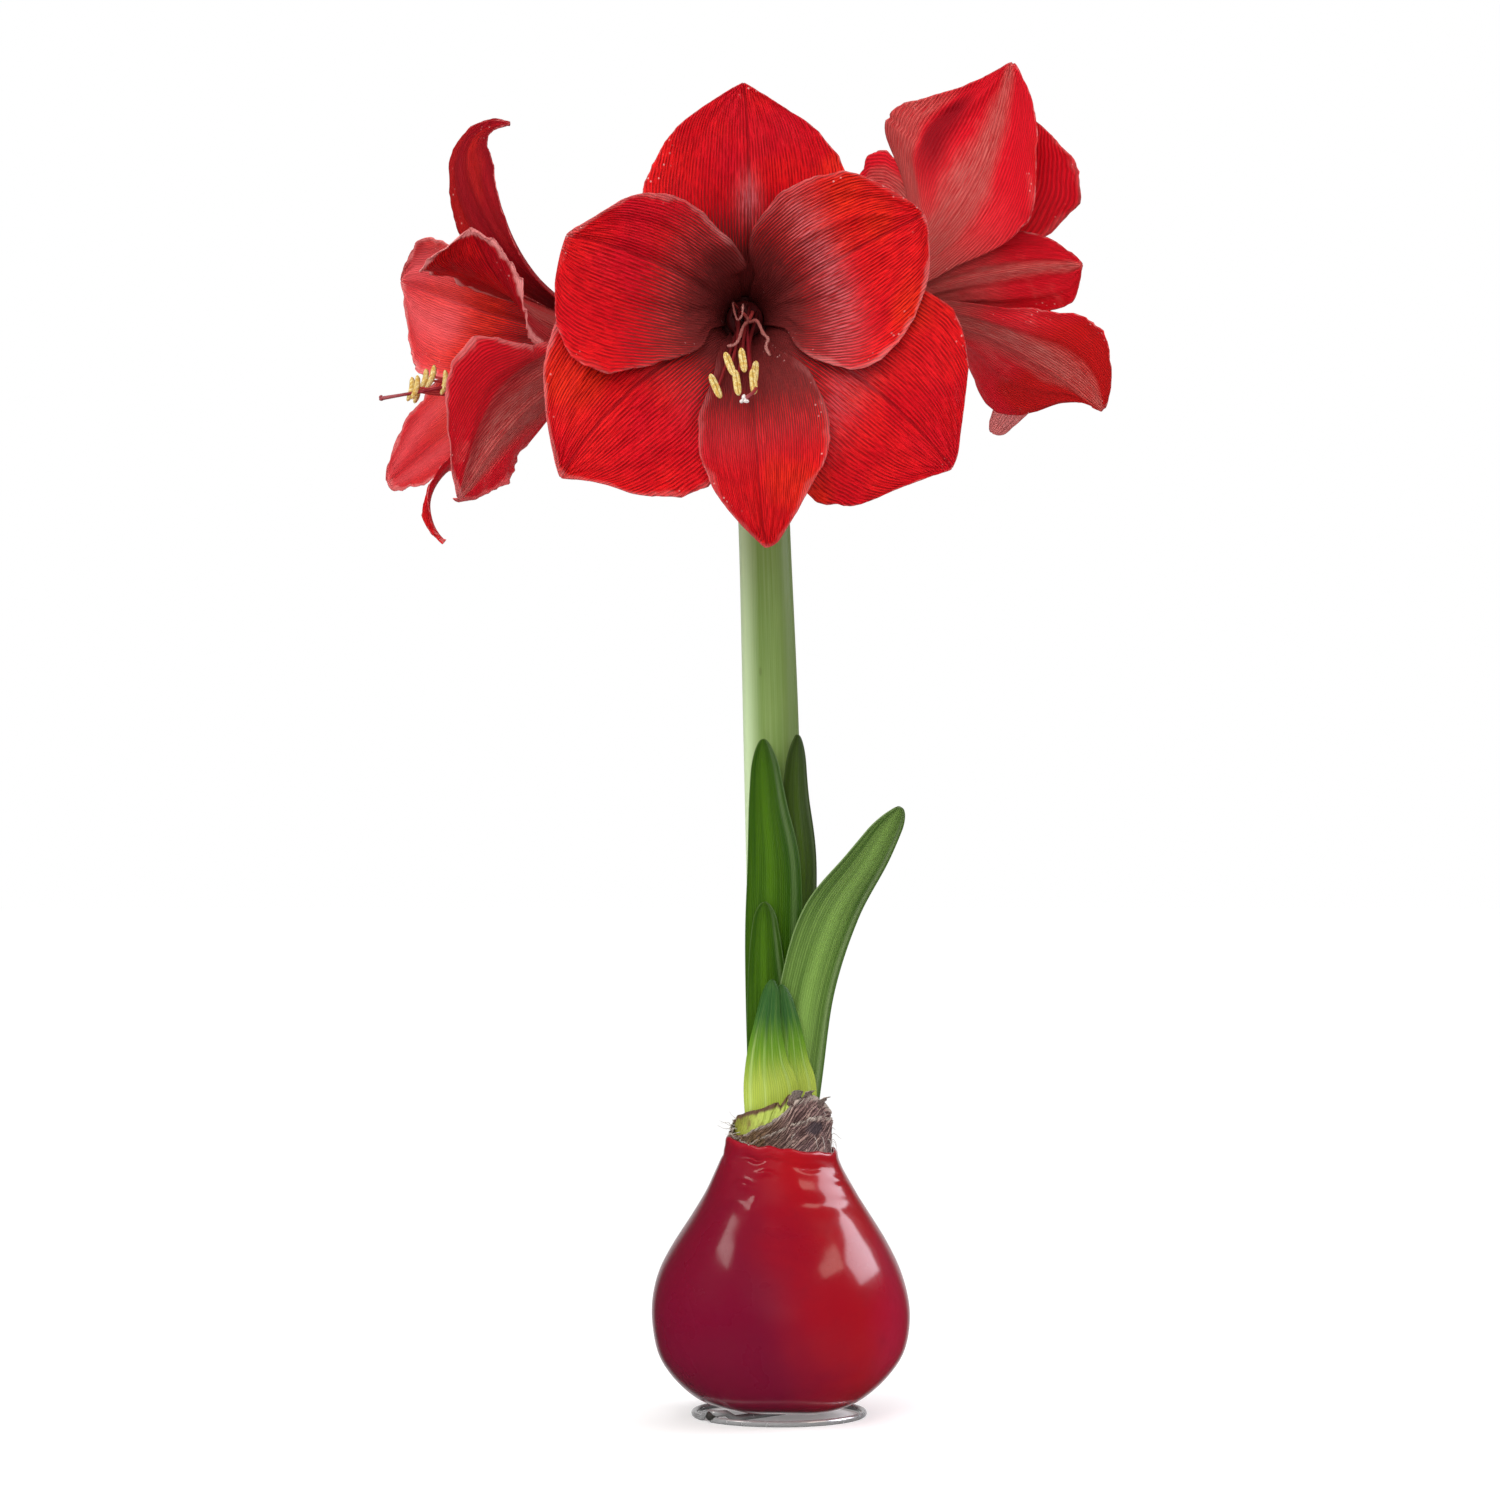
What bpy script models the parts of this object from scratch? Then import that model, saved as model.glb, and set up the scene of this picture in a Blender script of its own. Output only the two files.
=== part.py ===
"""A waxed amaryllis bulb in flower: a bulb dipped in red wax on a bent-wire ring, six strap leaves,
and one scape that carries three open blooms.

The origin is the middle of the wire ring, on the surface that it stands on. +Z is up and the first
bloom faces -Y. Every length is in metres, and MM turns millimetres into metres.
"""

from collections import namedtuple
from math import asin, cos, pi, radians, sin

import bpy
import numpy as np

MM = 0.001
CLEAR = 0.3 * MM  # the gap that neighbouring pieces keep

# ---- driving dimensions ----
WIRE = 2.4 * MM
RING_RADIUS = 31.7 * MM
WIRE_SIDES = 8
RING_STEPS = 34
TURN_IN = 218.0  # where the wire leaves the ring for its middle, degrees from +X
BEND = 3.0 * MM
CURL = 2.0 * MM  # of the bend from the ring's middle up into the spike
SPIKE_PAST_CENTRE = 5.0 * MM
SPIKE_TOP = 26 * MM

WAX_THICKNESS = 1.7 * MM
WAX_GAP = 0.4 * MM
BULB_SIDES = 24
SHARED_ROWS, SHARED_TO = 12, 0.72
# The bulb's own outline under its wax, radius and height, from its base to its neck.
BULB_OUTLINE = MM * np.array([
    (18.5, 4.8), (27.6, 7.2), (34.5, 12.0), (40.4, 18.6), (44.2, 25.8), (46.0, 36.0),
    (45.5, 45.0), (42.7, 54.5), (37.7, 64.0), (30.7, 75.0), (25.0, 84.5), (20.9, 94.0),
    (18.6, 103.0), (18.2, 110.0), (17.6, 117.0), (17.1, 124.0),
])
BULB_ASIDE = 0.5 * MM  # how far right of the ring's middle the bulb stands
NECK_DEPTH = 0.17  # how much deeper the neck is from front to back than it is wide
NECK_FROM, NECK_TO = 78 * MM, 108 * MM
WAX_EDGE, WAX_EDGE_TILT = 102.2 * MM, 3.0 * MM
MOUTH, MOUTH_TILT = 112.5 * MM, 8.0 * MM
TUNIC_WALL = 0.8 * MM
RECESS_FLOOR, RECESS_RADIUS = 97 * MM, 17.6 * MM
SHEATH_WALL, SHEATH_RADIUS = 0.8 * MM, 16.3 * MM
SHEATH_TURNS = (150, 305)  # from its one side to the other, degrees from +X
SHEATH_EDGE, SHEATH_EDGE_TILT = 116.5 * MM, 7.5 * MM
SHEATH_LEAN = 0.5 * MM

SCAPE_PATH = MM * np.array([
    (0.6, 6.3, 97.4), (-0.6, 6.4, 160), (-3.1, 5.6, 260), (-5.3, 4.6, 328), (-7.0, 4.0, 371),
])
SCAPE_RADII = MM * np.array([10.3, 10.6, 10.3, 9.6, 9.7])
SCAPE_SIDES = 18
SCAPE_ROWS = 9

PEDICEL_SIDES = 12
PEDICEL_SPREAD = 5.3 * MM  # from the scape's middle to the foot of each pedicel
TUBE_RADIUS = 11.6 * MM  # of the perianth tube at its rim
TUBE_WALL = 0.6 * MM
TUBE_CUP = 5.0 * MM  # how deep the tepals stand in the tube
# The perianth tube, the ovary behind it and the end of the pedicel: how far behind the throat, and the
# radius there.
TUBE_STATIONS = MM * np.array([
    (0, 11.6), (4, 11.1), (8, 9.2), (12.5, 6.2), (17, 5.3), (23, 6.4), (29, 6.6), (34, 5.0), (38, 3.9),
])
OUTER_FOOT, INNER_FOOT = 8.8 * MM, 7.2 * MM  # how far out the two whorls of tepals start
TEPAL_THICKNESS = 0.8 * MM
TEPAL_ROWS, TEPAL_COLUMNS = 10, 7

# ---- colours ----
CHROME = (0.62, 0.62, 0.62)
WAX_RED = (0.42, 0.006, 0.02)
TUNIC_BROWN = (0.26, 0.16, 0.12)
SHEATH_GREEN = (0.42, 0.42, 0.06)
SCAPE_GREEN = (0.22, 0.36, 0.09)
LEAF_GREEN = (0.07, 0.2, 0.03)
YOUNG_GREEN = (0.36, 0.52, 0.06)
TEPAL_RED = (0.6, 0.006, 0.012)
FILAMENT_RED = (0.42, 0.05, 0.06)
STYLE_RED = (0.4, 0.02, 0.04)
PAPER = (0.5, 0.36, 0.24)

# A leaf, by its foot and the heights that it passes: how far right of the origin it is there, how far
# from the scape's middle, how high, and half its width.
Leaf = namedtuple("Leaf", "name passes young")
LEAVES = (
    Leaf("leaf_tall_right", (
        (4.6, 11.4, 98.6, 8.6), (4.6, 13.0, 130, 9.6), (6.6, 15.0, 170, 9.8), (8.8, 16.8, 205, 8.8),
        (6.6, 17.4, 232, 5.6), (6.8, 17.6, 255.2, 0.7)), False),
    Leaf("leaf_tall_left", (
        (-2.4, 12.9, 98.6, 8.8), (-3.6, 14.8, 130, 9.8), (-2.6, 17.4, 175, 11.2), (-2.0, 19.0, 205, 10.4),
        (-4.4, 19.8, 229, 7.0), (-6.0, 20.2, 253.6, 0.7)), False),
    Leaf("leaf_short", (
        (-3.6, 14.4, 98.6, 8.6), (-4.0, 16.5, 125, 9.0), (-4.3, 19.3, 152, 8.4), (-5.2, 20.7, 175, 5.9),
        (-5.4, 21.4, 193, 0.7)), False),
    Leaf("leaf_arching", (
        (4.6, 15.9, 98.6, 8.6), (8.0, 18.5, 128, 10.4), (12.0, 23.5, 160, 10.6), (20.8, 34.0, 188, 10.6),
        (32.6, 50.0, 209.5, 9.6), (44.0, 64.0, 228.6, 0.7)), False),
    Leaf("leaf_young_right", (
        (3.2, 17.4, 98.6, 8.2), (4.0, 19.6, 121, 9.6), (3.3, 22.0, 134, 7.8), (2.5, 24.6, 148, 5.0),
        (0.7, 25.4, 162.4, 0.7)), True),
    Leaf("leaf_young_left", (
        (-2.4, 18.9, 98.6, 7.6), (-3.6, 21.3, 121, 9.0), (-4.8, 24.2, 134, 7.9), (-4.4, 26.8, 148, 4.8),
        (-2.6, 27.6, 164.4, 0.7)), True),
)
LEAF_ROWS, LEAF_COLUMNS = 11, 6
LEAF_THICKNESS = 1.2 * MM

# A tepal: its place round the bloom as seen from the bloom's front (0 is up, clockwise), the length of
# its midrib, its full width, the slope of the midrib off the bloom's axis at five even steps, how
# strongly its sides lift forward, how blunt (0.5) or drawn out (1.5) the tip is, how far the tip
# drifts clockwise, how far the blade twists, and the height and start of the waves on its sides.
Tepal = namedtuple("Tepal", "place clock length width flare cup tip sway twist wave phase")
# A bloom: the middle of its throat, the way it faces, how far it is turned about that, where round the
# scape's head its pedicel stands (degrees from +X), how far its stamens reach and droop, and its tepals.
Bloom = namedtuple("Bloom", "name throat faces roll foot poise tepals")

OUTER_FLARE = (5, 29, 57, 82, 98)
FRONT = Bloom("front", (-12.7, -48, 407), (0.05, -1, 0), 0, -75, (1, 1), (
    Tepal("top", 0, 98, 71, OUTER_FLARE, 0, 1.0, -2, 0, 1.0, 0.0),
    Tepal("upper_right", 60, 94, 72, (4, 25, 46, 66, 84), 2, 0.5, 2, 0, 1.2, 0.6),
    Tepal("lower_right", 120, 114, 83, OUTER_FLARE, -3.5, 0.7, 9, 0, 1.2, 1.4),
    Tepal("bottom", 180, 116, 58, (4, 25, 50, 76, 96), 2, 0.85, -3, 0, 1.0, 2.0),
    Tepal("lower_left", 240, 114, 83, OUTER_FLARE, -2, 0.78, -12, 0, 1.2, 0.9),
    Tepal("upper_left", 298, 96, 72, (4, 25, 46, 66, 84), 2, 0.5, -8, 0, 1.2, 2.6),
))
LEFT = Bloom("left", (-61, 2, 400), (-1, -0.2, 0), 0, 165, (1.0, 0.76), (
    Tepal("top", -6, 122, 46, (6, 35, 56, 88, 185), 2, 1.1, -8, -50, 1.2, 0.0),
    Tepal("upper_right", 66, 90, 66, (4, 22, 42, 56, 66), 0, 0.7, -16, -90, 2.2, 0.6),
    Tepal("lower_right", 126, 96, 76, (6, 34, 46, 52, 56), -8, 0.6, 20, -30, 2.4, 1.4),
    Tepal("bottom", 180, 113, 36, (6, 28, 37, 50, 140), 0, 1.5, -8, 0, 1.0, 2.0),
    Tepal("lower_left", 240, 105, 50, (6, 33, 38, 41, 44), 0, 0.8, -16, 0, 1.2, 0.9),
    Tepal("upper_left", 303, 98, 62, (4, 22, 33, 46, 58), 2, 0.7, -4, 0, 1.2, 2.6),
))
RIGHT = Bloom("right", (38.5, 25, 420), (0.78, 0.5, 0.38), -38, 45, (0.95, 0.8), (
    Tepal("top", 0, 108, 76, (5, 31, 58, 74, 84), -13, 0.8, 2, 0, 1.2, 0.0),
    Tepal("upper_right", 52, 100, 84, (4, 20, 38, 56, 70), -3, 0.7, -34, 0, 1.2, 0.6),
    Tepal("lower_right", 120, 96, 62, (5, 30, 56, 76, 92), -2, 0.7, 0, 0, 1.2, 1.4),
    Tepal("bottom", 180, 146, 56, (4, 22, 42, 64, 96), 2, 0.9, -5, 0, 1.2, 2.0),
    Tepal("lower_left", 240, 99, 76, (5, 30, 54, 72, 96), -4, 0.7, 12, 0, 1.2, 0.9),
    Tepal("upper_left", 300, 82, 62, (4, 20, 39, 56, 70), 2, 0.7, -2, 0, 1.2, 2.6),
))
BLOOMS = (FRONT, LEFT, RIGHT)

# Where along a tepal its two sides are measured, and half its width there in millimetres: first on the
# side that lies anticlockwise as seen from the bloom's front, then on the other.
SIDE_AT = (0, 0.15, 0.3, 0.45, 0.6, 0.72, 0.84, 0.93, 1)
SIDES = {
    ("front", "top"): ((12, 23, 38, 40, 34, 26, 13.5, 0.6), (12, 23, 36, 37, 33, 24, 11, 0.6)),
    ("front", "upper_right"): ((11, 18, 28, 32.5, 30, 25.5, 14, 2), (11, 20, 34, 45, 37.5, 27.5, 18, 3)),
    ("front", "upper_left"): ((11, 20, 31, 41, 47, 43, 31, 12), (11, 16, 19.5, 24.6, 24.5, 19.5, 8.5, 1)),
    ("front", "lower_left"): ((12, 20, 31, 45, 41, 29, 11.5, 0.6), (12, 17, 25, 36, 37, 27.5, 14, 1)),
    ("front", "lower_right"): ((12, 18, 25, 38, 40.5, 31, 14.5, 3), (12, 20, 31, 44, 44.5, 34.5, 15, 1)),
    ("front", "bottom"): ((8, 11, 22, 27, 25.5, 17.5, 10.5, 3.5), (8, 12, 14, 20.5, 21, 19.5, 10, 0.6)),
    ("right", "top"): ((12, 16, 26, 33, 29, 22, 14, 2), (12, 26, 52, 51, 34, 17, 8, 1)),
    ("right", "upper_left"): ((11, 12, 15, 19, 19.5, 18, 14, 2), (11, 12, 14, 16, 15, 11, 6, 1)),
    ("right", "upper_right"): ((11, 24, 46, 60, 54, 36, 17, 3), (11, 20, 30, 34, 32, 24, 12, 2)),
    ("right", "lower_left"): ((12, 20, 38, 52, 40, 12, 3, 0.6), (12, 13, 17, 27, 38, 38, 26, 6)),
    ("left", "top"): ((11, 18, 21, 18, 14, 10, 6, 0.6), (11, 18, 26, 28, 25, 16, 7, 0.6)),
    ("left", "upper_right"): ((11, 15, 26, 36, 35, 27, 18, 3), (11, 12, 14, 14, 13, 10, 7, 2)),
    ("left", "lower_right"): ((12, 15, 20, 32, 44, 44, 32, 8), (12, 18, 26, 24, 20, 15, 10, 3)),
    ("left", "upper_left"): ((11, 13, 18, 26, 31, 29, 19, 4), (11, 13, 20, 28, 30, 26, 16, 4)),
    ("left", "lower_left"): ((12, 14, 20, 24, 24, 20, 13, 4), (12, 14, 18, 24, 25, 22, 16, 6)),
}

# Each stamen's place round the throat, how far it reaches along the bloom's axis, and where its
# anther hangs, right of and below the axis, as seen from the bloom's front.
STAMENS = (
    (20, 66, 0.5, -14.5), (-35, 70, -5.5, -15.5), (80, 74, 3.9, -22.5),
    (-80, 77, -3.3, -22.5), (140, 64, 5.6, -18.5), (-140, 70, -10.5, -23.0),
)
FILAMENT_RADIUS = 0.75 * MM
ANTHER_LENGTH, ANTHER_RADIUS = 10.5 * MM, 1.6 * MM
STYLE_REACH, STYLE_DROP = 88 * MM, 27 * MM


# ---- shapes ----
def spline(controls, count):
    """count points, evenly spaced by parameter, on the smooth curve through the controls."""
    knots = np.array(controls, float)
    ends = np.concatenate([2 * knots[:1] - knots[1:2], knots, 2 * knots[-1:] - knots[-2:-1]])
    places = np.linspace(0, len(knots) - 1, count)
    spans = np.minimum(places.astype(int), len(knots) - 2)
    t = (places - spans).reshape((-1,) + (1,) * (knots.ndim - 1))
    before, start, end, after = (ends[spans + k] for k in range(4))
    square, cube = 2 * before - 5 * start + 4 * end - after, 3 * (start - end) + after - before
    return start + 0.5 * t * (end - before + t * (square + t * cube))


def unit(vector):
    vector = np.array(vector, float)
    return vector / np.linalg.norm(vector, axis=-1, keepdims=True)


def smooth_step(value):
    value = np.clip(value, 0, 1)
    return value * value * (3 - 2 * value)


def finish(mesh_object, colour, roughness=0.5, metallic=0.0):
    """Gives an object its material and smooth shading, and returns it."""
    material = bpy.data.materials.new(mesh_object.name + "_finish")
    material.use_nodes = True
    shader = material.node_tree.nodes["Principled BSDF"]
    shader.inputs["Base Color"].default_value = (*colour, 1)
    shader.inputs["Roughness"].default_value = roughness
    shader.inputs["Metallic"].default_value = metallic
    mesh_object.data.materials.append(material)
    mesh_object.data.shade_smooth()
    return mesh_object


def new_object(name, points, faces):
    mesh = bpy.data.meshes.new(name)
    mesh.from_pydata([tuple(p) for p in points], [], [tuple(f) for f in faces])
    mesh.validate()
    made = bpy.data.objects.new(name, mesh)
    bpy.context.scene.collection.objects.link(made)
    return made


def loft(name, rings):
    """One closed body through a row of rings with the same number of points, its two ends capped."""
    rings = np.array(rings, float)
    count, sides = rings.shape[:2]
    points = rings.reshape(-1, 3)
    index = np.arange(count * sides).reshape(count, sides)
    faces = []
    for row in range(count - 1):
        for k in range(sides):
            after = (k + 1) % sides
            a, b = index[row, k], index[row, after]
            c, d = index[row + 1, after], index[row + 1, k]
            faces += [(a, b, c), (a, c, d)]
    foot, head = len(points), len(points) + 1
    points = np.vstack([points, rings[0].mean(0), rings[-1].mean(0)])
    for k in range(sides):
        after = (k + 1) % sides
        faces += [(foot, index[0, after], index[0, k]), (head, index[-1, k], index[-1, after])]
    return new_object(name, points, faces)


def frames_along(path, first_side, held=False):
    """At each point of a path, two directions across it that turn with it and don't spin round it.

    Where held, the first of them keeps to first_side wherever the path crosses that at a fair angle."""
    path = np.array(path, float)
    along = unit(np.gradient(path, axis=0))
    side = np.array(first_side, float)
    sides = []
    for direction in along:
        if held and abs(direction @ np.array(first_side)) < 0.7:
            side = np.array(first_side, float)
        side = unit(side - direction * (side @ direction))
        sides.append(side)
    sides = np.array(sides)
    return sides, np.cross(along, sides)


def rings_along(path, radii, sides, first_side=(0, 0, 1), held=False):
    """Round rings across a path. A flat of each ring, and not a corner, faces first_side."""
    side, other = frames_along(path, first_side, held)
    turns = 2 * pi * (np.arange(sides) + 0.5) / sides
    radii = np.broadcast_to(np.array(radii, float), len(path))
    around = side[:, None] * np.cos(turns)[None, :, None] + other[:, None] * np.sin(turns)[None, :, None]
    return np.array(path)[:, None] + around * radii[:, None, None]


def blade(name, grid, thickness, edge_share=1.0):
    """A thin closed blade on a grid of middle points, edge_share times as thick at its sides."""
    rows, columns = grid.shape[:2]
    index = np.arange(rows * columns).reshape(rows, columns)
    faces = []
    for row in range(rows - 1):
        for k in range(columns - 1):
            a, b = index[row, k], index[row, k + 1]
            c, d = index[row + 1, k + 1], index[row + 1, k]
            faces += [(a, b, c), (a, c, d)] if k >= columns // 2 else [(a, b, d), (b, c, d)]
    made = new_object(name, grid.reshape(-1, 3), faces)
    middle = made.vertex_groups.new(name="middle")
    for k in range(columns):
        across = abs(2 * k / (columns - 1) - 1)
        middle.add([int(i) for i in index[:, k]], 1 - across**2, "REPLACE")
    solid = made.modifiers.new("thickness", "SOLIDIFY")
    solid.thickness = thickness
    solid.offset = 0
    solid.vertex_group = "middle"
    solid.thickness_vertex_group = edge_share
    return made


def apply_modifiers(made):
    bpy.context.view_layer.update()
    evaluated = made.evaluated_get(bpy.context.evaluated_depsgraph_get())
    mesh = bpy.data.meshes.new_from_object(evaluated)
    made.modifiers.clear()
    made.data = mesh


# ---- wire stand ----
def stand_path():
    """The middle line of the stand's one wire: round the ring, over its own start, in, and up."""
    rest = WIRE / 2 * cos(pi / WIRE_SIDES)
    raised = rest + WIRE
    end = radians(TURN_IN) + 2 * pi
    turns = np.linspace(radians(TURN_IN), end, RING_STEPS + 1)
    lift = smooth_step((turns - end + radians(14)) / radians(10))
    ring = np.c_[RING_RADIUS * np.cos(turns), RING_RADIUS * np.sin(turns), rest + lift * (raised - rest)]
    late = np.linspace(turns[-3], end, 6)[1:]
    lift = smooth_step((late - end + radians(14)) / radians(10))
    close = np.c_[RING_RADIUS * np.cos(late), RING_RADIUS * np.sin(late), rest + lift * (raised - rest)]
    lean = asin(BEND / (RING_RADIUS - BEND))
    swing = np.linspace(0, pi / 2 + lean, 6)[1:]
    hub = (RING_RADIUS - BEND) * np.array([cos(end), sin(end)])
    turn = np.c_[hub[0] + BEND * np.cos(end + swing), hub[1] + BEND * np.sin(end + swing), np.full(5, raised)]
    inward = -np.array([cos(end + lean), sin(end + lean)])
    reach = np.array([-27.5, -26, -24.5, -23, -20, -9, 2.2]) * MM
    drop = smooth_step((reach + 28.5 * MM) / (6 * MM))
    spoke = np.c_[np.outer(reach, inward), raised - drop * (raised - rest)]
    curl = np.linspace(0, pi / 2, 5)
    bend_from = SPIKE_PAST_CENTRE - CURL
    curl_reach, curl_height = bend_from + CURL * np.sin(curl), rest + CURL * (1 - np.cos(curl))
    bend = np.c_[np.outer(curl_reach, inward), curl_height]
    spike = np.array([[*(SPIKE_PAST_CENTRE * inward), height] for height in (SPIKE_TOP - 6 * MM, SPIKE_TOP)])
    return np.vstack([ring[:-2], close, turn, spoke, bend, spike])


def wire_stand():
    path = stand_path()
    radii = np.full(len(path), WIRE / 2)
    radii[-1] = 0.4 * MM
    return finish(loft("wire_stand", rings_along(path, radii, WIRE_SIDES, held=True)), CHROME, 0.2, 1.0)


# ---- bulb, wax and neck ----
def bulb_warp(points):
    """The bulb's slight lumps, and the neck's depth from front to back."""
    x, y, z = np.moveaxis(points, -1, 0)
    turn = np.arctan2(y, x)
    lumps = 1 + 0.010 * np.sin(2 * turn + 0.8) + 0.006 * np.sin(5 * turn + 90 * z)
    lumps += 0.004 * np.sin(3 * turn - 140 * z)
    deep = 1 + NECK_DEPTH * smooth_step((z - NECK_FROM) / (NECK_TO - NECK_FROM))
    return np.stack([BULB_ASIDE + x * lumps, y * lumps * deep, z], -1)


def outline(offset, top, rows):
    """Rows of (radius, height) up the bulb's outline, moved out by offset, to a height for each side.

    Every outline has the same SHARED_ROWS up to the neck, so that they nest."""
    fine = spline(BULB_OUTLINE, 240)
    slope = unit(np.gradient(fine, axis=0))
    fine = fine + offset * np.c_[slope[:, 1], -slope[:, 0]]
    neck = SHARED_TO * len(fine)
    ends = np.interp(top, fine[:, 1], np.arange(len(fine)))
    shared = np.linspace(0, neck, SHARED_ROWS)[:, None] + 0 * ends
    places = np.vstack([shared, neck + np.linspace(0, 1, rows + 1)[1:, None] * (ends - neck)])
    radius = np.interp(places, np.arange(len(fine)), fine[:, 0])
    height = np.interp(places, np.arange(len(fine)), fine[:, 1])
    return radius, height


def round_rows(radius, height):
    turns = 2 * pi * np.arange(BULB_SIDES) / BULB_SIDES
    height = np.broadcast_to(height, radius.shape)
    return bulb_warp(np.stack([radius * np.cos(turns), radius * np.sin(turns), height], -1))


def edge_height(height, tilt, ragged, seed):
    """The height of an edge round the neck: tilted to the right, and torn by a seeded draw."""
    turns = 2 * pi * np.arange(BULB_SIDES) / BULB_SIDES
    return height + tilt * np.cos(turns) + ragged * np.random.default_rng(seed).uniform(-1, 1, BULB_SIDES)


def spike_hole():
    """What the stand's spike takes out of the wax and the bulb."""
    x, y, _ = stand_path()[-1]
    path = [(x, y, -1 * MM), (x, y, SPIKE_TOP + 1 * MM)]
    hole = loft("spike_hole", rings_along(path, WIRE / 2 + 0.5 * MM, 10, (1, 0, 0)))
    hole.hide_render = True
    hole.display_type = "WIRE"
    return hole


def drill(made, hole):
    cut = made.modifiers.new("spike hole", "BOOLEAN")
    cut.operation = "DIFFERENCE"
    cut.object = hole
    cut.solver = "EXACT"


def wax_coat(hole):
    edge = edge_height(WAX_EDGE, -WAX_EDGE_TILT, 0.5 * MM, 3)
    outside = round_rows(*outline(WAX_GAP + WAX_THICKNESS, edge, 2))
    outside[-1] = round_rows(*outline(WAX_GAP + WAX_THICKNESS / 2, edge, 2))[-1]
    inside = round_rows(*outline(WAX_GAP, edge - 0.6 * MM, 2))
    made = loft("wax_coat", [*outside, *inside[::-1]])
    drill(made, hole)
    return finish(made, WAX_RED, 0.12)


def bulb(hole):
    edge = edge_height(MOUTH, MOUTH_TILT, 0.9 * MM, 5)
    outside = round_rows(*outline(0, edge, 4))
    wall_radius, wall_height = outline(-TUNIC_WALL, edge - 0.2 * MM, 12)
    share = np.linspace(0, 1, 4)[:, None]
    heights = (edge - 0.2 * MM) * (1 - share) + RECESS_FLOOR * share
    radii = np.empty_like(heights)
    for k in range(BULB_SIDES):
        radii[:, k] = np.interp(heights[:, k], wall_height[:, k], wall_radius[:, k])
    inside = round_rows(np.minimum(radii, RECESS_RADIUS), heights)
    made = loft("bulb", [*outside, *inside])
    drill(made, hole)
    return finish(made, TUNIC_BROWN, 0.8)


def neck_sheath():
    """The fleshy scale at the left front, between the papery neck and the feet of the leaves."""
    turns = np.radians(np.linspace(*SHEATH_TURNS, 9))
    ragged = 0.9 * MM * np.random.default_rng(9).uniform(-1, 1, len(turns))
    top = SHEATH_EDGE + SHEATH_EDGE_TILT * np.cos(turns) + ragged
    top[[0, -1]] -= 7 * MM
    share = np.linspace(0, 1, 5)[:, None]
    heights = (RECESS_FLOOR + 2 * CLEAR) * (1 - share) + top * share
    deep = 1 + NECK_DEPTH * smooth_step((heights - NECK_FROM) / (NECK_TO - NECK_FROM))
    radius = SHEATH_RADIUS - SHEATH_LEAN * smooth_step((heights - 104 * MM) / (16 * MM))
    grid = np.stack([BULB_ASIDE + radius * np.cos(turns), radius * deep * np.sin(turns), heights], -1)
    return finish(blade("neck_sheath", grid, SHEATH_WALL), SHEATH_GREEN, 0.5)


# ---- scape and leaves ----
def scape():
    path = spline(SCAPE_PATH, SCAPE_ROWS)
    rings = rings_along(path, spline(SCAPE_RADII, SCAPE_ROWS), SCAPE_SIDES, (1, 0, 0))
    return finish(loft("scape", rings), SCAPE_GREEN, 0.45)


def leaf_grid(leaf, rows, columns):
    """The middle surface of a strap leaf, a channel that wraps round the scape's middle line."""
    passes = spline(MM * np.array(leaf.passes), rows)
    aside, away, height, half = passes.T
    middle = spline(SCAPE_PATH, 60)
    centre = np.stack([np.interp(height, middle[:, 2], middle[:, k]) for k in (0, 1)] + [height], -1)
    turn = np.arcsin((aside - centre[:, 0]) / away)
    v = np.linspace(-1, 1, columns)
    line = centre + (away * np.stack([np.sin(turn), -np.cos(turn), 0 * turn])).T
    along = unit(np.gradient(line, axis=0))
    out = np.stack([np.sin(turn), -np.cos(turn), 0 * turn], -1)
    across = unit(np.cross(out, along))
    out = np.cross(along, across)
    angle = np.outer(half / away, v)
    spread = across[:, None] * np.sin(angle)[..., None] - out[:, None] * (1 - np.cos(angle))[..., None]
    return line[:, None] + spread * away[:, None, None]


def leaf_blade(leaf):
    made = blade(leaf.name, leaf_grid(leaf, LEAF_ROWS, LEAF_COLUMNS), LEAF_THICKNESS, 0.5)
    return finish(made, YOUNG_GREEN if leaf.young else LEAF_GREEN, 0.4)


def spathe_valve(name, turn):
    """One of the two withered bracts that hang from the scape's head."""
    head = SCAPE_PATH[-1]
    out = np.array([cos(radians(turn)), sin(radians(turn)), 0])
    across = np.array([-out[1], out[0], 0])
    ring = SCAPE_RADII[-1] + CLEAR + 0.5 * MM
    passes = MM * np.array([(0.3, -1.0), (1.5, -8.0), (4.0, -18.0), (6.0, -28.0), (5.4, -36.5)])
    line = spline([head + out * (ring + p[0]) + np.array([0, 0, p[1]]) for p in passes], 8)
    s = np.linspace(0, 1, 8)[:, None]
    half = MM * (8.0 * (1 - s**1.6) + 0.8)
    v = np.linspace(-1, 1, 5)[None, :]
    angle = half * v / (ring + 2 * MM)
    bend = ring + 2 * MM
    fold = 0.8 * MM * np.sin(9 * s + 2.5 * v) * s
    aside, back = bend * np.sin(angle), bend * (1 - np.cos(angle)) + fold
    grid = line[:, None] + across * aside[..., None] - out * back[..., None]
    return finish(blade(name, grid, 0.7 * MM), PAPER, 0.9)


# ---- blooms ----
def bloom_axes(bloom):
    """The way a bloom faces, and its own up and right, as seen from its front."""
    faces = unit(bloom.faces)
    up = unit(np.array([0, 0, 1]) - faces * faces[2])
    right = np.cross(up, faces)
    turn = radians(bloom.roll)
    return faces, up * cos(turn) + right * sin(turn), right * cos(turn) - up * sin(turn)


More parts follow.
